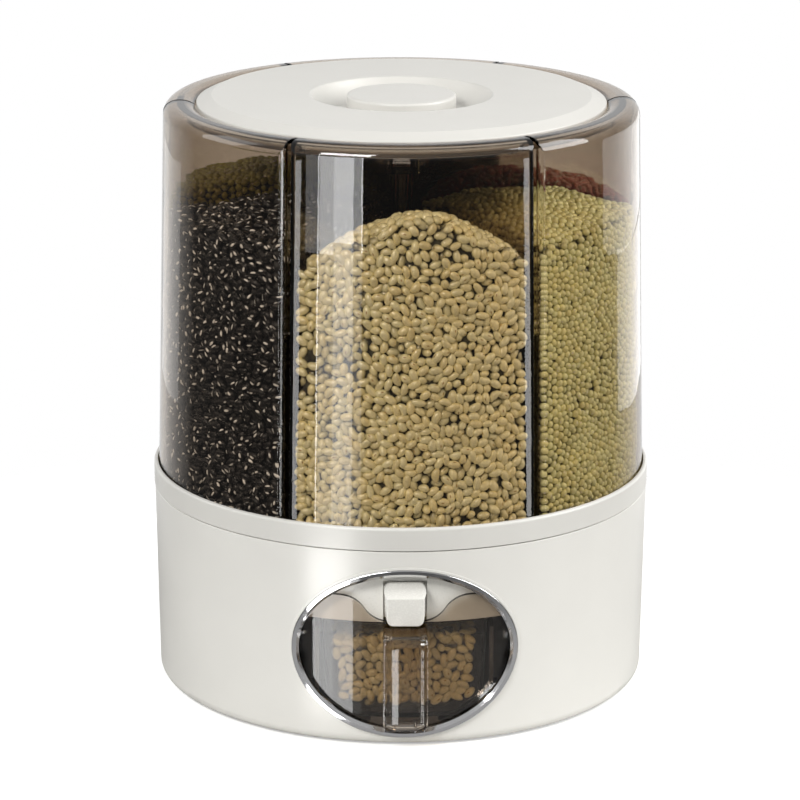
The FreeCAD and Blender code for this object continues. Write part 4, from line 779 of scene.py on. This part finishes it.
def pack_ovals(rng, wide, tall, half_long, half_short, crowding):
    """Random ovals in a rectangle, pushed apart until they barely touch. Crowding above 1 packs
    them tighter. Returns places and turns."""
    count = int(crowding * wide * tall / (math.pi * half_long * half_short))
    spots = rng.random((count, 2)) * (wide, tall)
    turns = rng.random(count) * math.pi
    for _ in range(6):
        gaps = spots[:, None] - spots[None]
        one, other = np.nonzero(np.triu((gaps ** 2).sum(2) < (2.7 * half_long) ** 2, 1))
        for _ in range(7):
            way = spots[one] - spots[other]
            run = np.hypot(way[:, 0], way[:, 1]) + 1e-9
            way /= run[:, None]
            heading = np.arctan2(way[:, 1], way[:, 0])
            reach = sum(half_long * half_short / np.hypot(
                half_short * np.cos(heading - turns[k]), half_long * np.sin(heading - turns[k]))
                for k in (one, other))
            push = way * (0.3 * np.clip(reach - run, 0, None))[:, None]
            np.add.at(spots, one, push)
            np.add.at(spots, other, -push)
            spots = np.clip(spots, half_short, (wide - half_short, tall - half_short))
    return spots, turns


def frames(normals, turns, tilts, roll):
    """Rotations that lay seeds flat on a surface, turned in it, tilted a little out of it and
    rolled about their length."""
    up = normals / np.linalg.norm(normals, axis=1)[:, None]
    helper = np.where(np.abs(up[:, 2:3]) > 0.9, [[1.0, 0.0, 0.0]], [[0.0, 0.0, 1.0]])
    right = np.cross(helper, up)
    right /= np.linalg.norm(right, axis=1)[:, None]
    fore = np.cross(up, right)
    along = right * np.cos(turns)[:, None] + fore * np.sin(turns)[:, None]
    along = along + up * tilts[:, None]
    along /= np.linalg.norm(along, axis=1)[:, None]
    side = np.cross(up, along)
    side /= np.linalg.norm(side, axis=1)[:, None]
    top = np.cross(along, side)
    c, s = np.cos(roll)[:, None], np.sin(roll)[:, None]
    return np.stack([along, side * c + top * s, top * c - side * s], axis=2)


class Heap:
    """Collects seeds and a dark core of painted shade, and makes one mesh of them."""

    def __init__(self, rng, kind, length):
        self.rng = rng
        self.seed = model_seed(kind, length)
        self.plain_seed = model_seed(kind, length, plain=True)
        self.bend = GRAIN_SHAPE[kind][2]
        self.eye_out = GRAIN_SHAPE[kind][4]
        self.half = self.seed[1][0]
        self.short = (self.seed[1][1] + self.seed[1][2]) / 2
        self.points, self.own, self.tones = [], [], []
        self.sunk, self.faces, self.slots = [], [], []
        self.size = 0

    def add(self, points, own, tones, sunk, faces, slot):
        self.points.append(points)
        self.own.append(own)
        self.tones.append(tones)
        self.sunk.append(sunk)
        self.faces += (faces + self.size).tolist()
        self.slots += [slot] * len(faces)
        self.size += len(points)

    def lay_seeds(self, touch, normals, turns, depth, upright, plain=False):
        """Lays seeds so that each touches the surface that it lies against, at the point touch with
        the outward normal, or lies a depth of its own below it. A share of them stands upright.
        Plain ones are for layers that hardly show."""
        count = len(touch)
        if not count:
            return
        own, half, faces = self.plain_seed if plain else self.seed
        normals = normals / np.linalg.norm(normals, axis=1)[:, None]
        tilts = self.rng.normal(0, 0.24, count)
        standing = self.rng.random(count) < upright
        tilts[standing] = self.rng.uniform(-2.4, 2.4, standing.sum())
        roll = math.pi / 2 + self.rng.normal(0, self.eye_out, count)
        turned = frames(normals, turns, tilts, roll)
        sizes = half * (1 + SIZE_SPREAD * self.rng.normal(0, 1, (count, 3)).clip(-1.8, 1.8))
        reach = np.linalg.norm(np.einsum("nij,ni->nj", turned, normals) * sizes, axis=1)
        centres = touch - normals * (reach + depth)[:, None]
        points = own[None] * sizes[:, None]
        bend = self.bend * self.rng.random(count) ** 2
        points[:, :, 1] -= (bend * sizes[:, 0])[:, None] * 2 * own[None, :, 0] ** 2
        laid = np.einsum("nij,npj->npi", turned, points) + centres[:, None]
        every = faces[None] + (np.arange(count) * len(own))[:, None, None]
        tones = np.repeat(self.rng.random(count), len(own))
        # how deep each point lies below the surface, which the seed coat turns into painted shade
        sunk = np.einsum("npi,ni->np", touch[:, None] - laid, normals) / (2 * self.short)
        self.add(laid.reshape(-1, 3), np.tile(own, (count, 1)), tones, sunk.ravel(),
                 every.reshape(-1, 3), 0)

    def add_block(self, corners):
        """Outer faces of a block of points, shaped (i, j, k, 3), as triangles."""
        ni, nj, nk = corners.shape[:3]
        index = np.arange(ni * nj * nk).reshape(ni, nj, nk)
        sheets = [(index[0], False), (index[-1], True), (index[:, 0], True),
                  (index[:, -1], False), (index[:, :, 0], False), (index[:, :, -1], True)]
        tris = []
        for sheet, flip in sheets:
            a, b, c, d = sheet[:-1, :-1], sheet[1:, :-1], sheet[1:, 1:], sheet[:-1, 1:]
            quads = np.stack([a, b, c, d] if flip else [a, d, c, b], axis=-1).reshape(-1, 4)
            tris += [quads[:, [0, 1, 2]], quads[:, [0, 2, 3]]]
        flat = corners.reshape(-1, 3)
        self.add(flat, np.zeros_like(flat), np.zeros(len(flat)), np.ones(len(flat)),
                 np.concatenate(tris), 1)

    def make(self, name, materials):
        mesh = bpy.data.meshes.new(name)
        mesh.from_pydata(np.concatenate(self.points).tolist(), [], self.faces)
        for title, kind, key, values in (("bean", "FLOAT_VECTOR", "vector", self.own),
                                         ("tone", "FLOAT", "value", self.tones),
                                         ("sunk", "FLOAT", "value", self.sunk)):
            layer = mesh.attributes.new(title, kind, "POINT")
            layer.data.foreach_set(key, np.concatenate(values).ravel())
        for material in materials:
            mesh.materials.append(material)
        mesh.polygons.foreach_set("material_index", self.slots)
        mesh.polygons.foreach_set("use_smooth", [True] * len(self.slots))
        mesh.update()
        piece = bpy.data.objects.new(name, mesh)
        bpy.context.scene.collection.objects.link(piece)
        return piece


def bin_in_r(z):
    """Inner radius of the bins' tapered outer wall at a height."""
    share = (z - BIN_FLOOR_Z) / (SHOULDER_Z - BIN_FLOOR_Z)
    return BIN_IN_R_LOW + (BIN_IN_R_TOP - BIN_IN_R_LOW) * share


def bin_floor_z(radius):
    """Height of the bins' sloping floor."""
    return BIN_FLOOR_Z + np.clip(CONE_R - radius, 0, None) * CONE_SLOPE


def grain_materials(context, kind):
    """A grain's seed coat, and the painted shade of the depth between its seeds."""
    colour = tuple(getattr(context.scene.dispenser_grain, kind + "_colour"))
    eye_colour, *coat = GRAIN_COAT[kind]
    seeds = seed_coat(kind + "_coat", colour, GRAIN_SHAPE[kind][3], linear(eye_colour), *coat)
    return [seeds, grain_shade(kind + "_depth", colour)]


class DISPENSER_OT_bin_grain(bpy.types.Operator):
    """Grain in the six bins: against the outer wall, on the heap and along the side walls"""

    bl_idname = "dispenser.bin_grain"
    bl_label = "Grain in the Bins"

    def execute(self, context):
        for number, (kind, *pile) in enumerate(BIN_GRAIN.values()):
            rng = np.random.default_rng(40 + number)
            length = getattr(context.scene.dispenser_grain, kind)
            piece = self.fill(rng, kind, length, pile, number).make(
                "grain_" + str(number + 1), grain_materials(context, kind))
            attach(piece, "drum")
        return {"FINISHED"}

    def fill(self, rng, kind, length, pile, number):
        heap = Heap(rng, kind, length)
        half, short = heap.half, heap.short
        peak, middle, aside, slope, blunt = pile
        phase = rng.random(4) * 2 * math.pi

        def level(x, y):
            away = np.hypot(x - aside, y + middle)
            broad = np.sin(x / (9 * MM) + phase[0]) * np.sin(y / (11 * MM) + phase[1])
            fine = np.sin(x / (4.1 * MM) + phase[2]) * np.sin(y / (5.2 * MM) + phase[3])
            waves = (1.3 * broad + 0.8 * fine) * MM
            return peak - slope * (np.hypot(away, blunt) - blunt) + waves

        turn = math.radians(DRUM_TURN + 60 * number)
        spin = np.array([[math.cos(turn), -math.sin(turn), 0],
                         [math.sin(turn), math.cos(turn), 0],
                         [0, 0, 1]])

        def lay(touch, normals, turns, depth, upright=0.16, on_top=False, plain=False):
            if not on_top:
                keep = touch[:, 2] < level(touch[:, 0], touch[:, 1]) - short * 0.8
                touch, normals, turns, depth = touch[keep], normals[keep], turns[keep], depth[keep]
            heap.lay_seeds(touch @ spin.T, normals @ spin.T, turns, depth, upright, plain)

        # against the outer wall, in two layers
        arc = 2 * (HALF_SHARE - math.asin((BIN_SIDE_IN + short) / BIN_IN_R_LOW)) * BIN_IN_R_LOW
        tall = peak - BIN_FLOOR_Z
        for layer, crowding in WALL_LAYERS:
            spots, turns = pack_ovals(rng, arc, tall, half, short, crowding)
            z = BIN_FLOOR_Z + spots[:, 1]
            away = bin_in_r(z) - WALL_GAP
            angle = (spots[:, 0] - arc / 2) / BIN_IN_R_LOW
            flat = np.stack([np.sin(angle), -np.cos(angle), np.zeros_like(angle)], 1)
            touch = flat * away[:, None] + np.stack([0 * z, 0 * z, z], 1)
            lay(touch, flat, turns, layer * 2 * short + rng.random(len(z)) ** 2 * 0.3 * length,
                plain=layer > 0)
        # on the heap, in two layers
        across = 2 * BIN_IN_R_LOW * math.sin(HALF_SHARE)
        for layer, crowding in HEAP_LAYERS:
            spots, turns = pack_ovals(rng, across, BIN_IN_R_LOW, half, short, crowding)
            x, y = spots[:, 0] - across / 2, -spots[:, 1]
            radius = np.hypot(x, y)
            inset = BIN_SIDE_IN + short * 1.2 + WALL_GAP
            room = -y * math.sin(HALF_SHARE) - np.abs(x) * math.cos(HALF_SHARE)
            keep = (radius < bin_in_r(level(x, y)) - short * 1.15 - WALL_GAP) & (room > inset)
            keep &= radius > CORE_IN_R + length
            x, y, turns = x[keep], y[keep], turns[keep]
            step = 0.5 * MM
            slope_x = (level(x + step, y) - level(x - step, y)) / (2 * step)
            slope_y = (level(x, y + step) - level(x, y - step)) / (2 * step)
            touch = np.stack([x, y, level(x, y)], 1)
            lay(touch, np.stack([-slope_x, -slope_y, np.ones_like(x)], 1), turns,
                (layer * 2 - 0.5 * rng.random(len(x))) * short, 0.08, on_top=True, plain=layer > 0)
        # along the side walls, where a neighbour's lower heap lets them show
        for way in (-1, 1):
            out = np.array([way * math.sin(HALF_SHARE), -math.cos(HALF_SHARE), 0])
            inward = np.array([-way * math.cos(HALF_SHARE), -math.sin(HALF_SHARE), 0])
            spots, turns = pack_ovals(
                rng, SIDE_LONG, peak - SIDE_FROM_Z, half, short, SIDE_CROWDING)
            reach = SIDE_FROM_R + spots[:, 0]
            z = SIDE_FROM_Z + spots[:, 1]
            touch = (out * reach[:, None] + inward * (BIN_SIDE_IN + WALL_GAP)
                     + np.stack([0 * z, 0 * z, z], 1))
            lay(touch, np.tile(-inward, (len(z), 1)), turns,
                rng.random(len(z)) ** 2 * 0.25 * length, plain=True)
        # a dark block behind the seeds: painted shade for the depth between them
        deep = 1.9 * short
        grid = np.zeros((9, 13, 9, 3))
        for i, share in enumerate(np.linspace(0, 1, 9)):
            for j, side in enumerate(np.linspace(-1, 1, 13)):
                for k, rise in enumerate(np.linspace(0, 1, 9)):
                    z = 0.2             # a first guess, bettered three times
                    for _ in range(3):
                        r_out = bin_in_r(z) - deep
                        r = DEPTH_FROM_R + (r_out - DEPTH_FROM_R) * share
                        wide = HALF_SHARE - math.asin((BIN_SIDE_IN + deep) / r)
                        x, y = r * math.sin(side * wide), -r * math.cos(side * wide)
                        bottom = float(bin_floor_z(r)) + 1.0 * MM
                        z = bottom + (float(level(x, y)) - short * 2.2 - bottom) * rise
                    grid[i, j, k] = spin @ (x, y, z)
        heap.add_block(grid)
        return heap


class DISPENSER_OT_cup_grain(bpy.types.Operator):
    """Soybeans in the measuring cup"""

    bl_idname = "dispenser.cup_grain"
    bl_label = "Grain in the Cup"

    def execute(self, context):
        kind = "soybean"
        rng = np.random.default_rng(71)
        heap = Heap(rng, kind, context.scene.dispenser_grain.soybean)
        half, short = heap.half, heap.short

        def level(x, y):
            # nearly level, a little higher in the middle and on the right
            return 63 * MM + 0.05 * x + 0.02 * (y + 0.09) - 3.0 * x ** 2

        def half_width(z):
            return np.interp(z, (CUP_IN_FLOOR_Z, CUP_IN_CHAMFER_Z, CUP_TOP_Z), CUP_IN_HALF)

        def lay(touch, normals, turns, depth):
            inside = np.abs(touch[:, 0]) < half_width(touch[:, 2]) - 1.3 * short - WALL_GAP
            inside &= touch[:, 2] <= level(touch[:, 0], touch[:, 1])
            inside &= touch[:, 2] > CUP_IN_FLOOR_Z + 1.2 * short
            heap.lay_seeds(touch[inside], normals[inside], turns[inside], depth[inside], 0.16)

        wide = 2 * CUP_IN_HALF[2]
        for layer, crowding in CUP_WALL_LAYERS:
            spots, turns = pack_ovals(rng, wide, CUP_TOP_Z - CUP_IN_FLOOR_Z, half, short, crowding)
            x, z = spots[:, 0] - wide / 2, CUP_IN_FLOOR_Z + spots[:, 1]
            away = CUP_IN_R - WALL_GAP
            touch = np.stack([x, -np.sqrt(away ** 2 - x ** 2), z], 1)
            lay(touch, touch * (1, 1, 0), turns,
                layer * 2 * short + rng.random(len(x)) * 0.3 * half)
        deep_y = CUP_IN_R + CUP_IN_BACK_Y
        for layer, crowding in CUP_HEAP_LAYERS:
            spots, turns = pack_ovals(rng, wide, deep_y, half, short, crowding)
            x, y = spots[:, 0] - wide / 2, CUP_IN_BACK_Y - spots[:, 1]
            clear = 1.3 * short + WALL_GAP
            keep = (np.hypot(x, y) < CUP_IN_R - clear) & (y < CUP_IN_BACK_Y - clear)
            x, y, turns = x[keep], y[keep], turns[keep]
            lay(np.stack([x, y, level(x, y)], 1), np.tile([0.0, 0.0, 1.0], (len(x), 1)), turns,
                (layer * 2 - 0.5 * rng.random(len(x))) * short)
        # a dark block behind the seeds: painted shade for the depth between them
        deep = 2.2 * short
        grid = np.zeros((7, 9, 5, 3))
        for i, side in enumerate(np.linspace(-1, 1, 7)):
            for j, back in enumerate(np.linspace(0, 1, 9)):
                for k, rise in enumerate(np.linspace(0, 1, 5)):
                    z = CUP_IN_FLOOR_Z + 1.0 * MM + (50 * MM - CUP_IN_FLOOR_Z) * rise
                    x = side * (float(half_width(z)) - deep)
                    front = -math.sqrt((CUP_IN_R - deep) ** 2 - x ** 2)
                    grid[i, j, k] = (x, front + (CUP_IN_BACK_Y - 2 * MM - front) * back, z)
        heap.add_block(grid)
        piece = heap.make("grain_cup", grain_materials(context, kind))
        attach(piece, "cup")
        return {"FINISHED"}


class DISPENSER_PT_panel(bpy.types.Panel):
    """Steps that dress the dispenser"""

    bl_label = "Dispenser"
    bl_idname = "DISPENSER_PT_panel"
    bl_space_type = "VIEW_3D"
    bl_region_type = "UI"
    bl_category = "Dispenser"

    def draw(self, context):
        for operator in STEPS:
            self.layout.operator(operator.bl_idname)
        for group in (context.scene.dispenser_finishes, context.scene.dispenser_grain,
                      context.scene.dispenser_studio):
            box = self.layout.box()
            for name in group.bl_rna.properties.keys():
                if name not in ("rna_type", "name"):
                    box.prop(group, name)


STEPS = (
    DISPENSER_OT_stage,
    DISPENSER_OT_shells,
    DISPENSER_OT_window_ring,
    DISPENSER_OT_clear_pieces,
    DISPENSER_OT_button,
    DISPENSER_OT_cup_strap,
    DISPENSER_OT_works,
    DISPENSER_OT_bin_grain,
    DISPENSER_OT_cup_grain,
)
GROUPS = {
    "dispenser_finishes": DispenserFinishes,
    "dispenser_grain": DispenserGrain,
    "dispenser_studio": DispenserStudio,
}


def register():
    for name, group in GROUPS.items():
        bpy.utils.register_class(group)
        setattr(bpy.types.Scene, name, bpy.props.PointerProperty(type=group))
    for item in (*STEPS, DISPENSER_PT_panel):
        bpy.utils.register_class(item)


def unregister():
    for item in (DISPENSER_PT_panel, *reversed(STEPS)):
        bpy.utils.unregister_class(item)
    for name, group in GROUPS.items():
        delattr(bpy.types.Scene, name)
        bpy.utils.unregister_class(group)


def main():
    register()
    for step in STEPS:
        family, action = step.bl_idname.split(".")
        getattr(getattr(bpy.ops, family), action)()


if __name__ == "__main__":
    main()
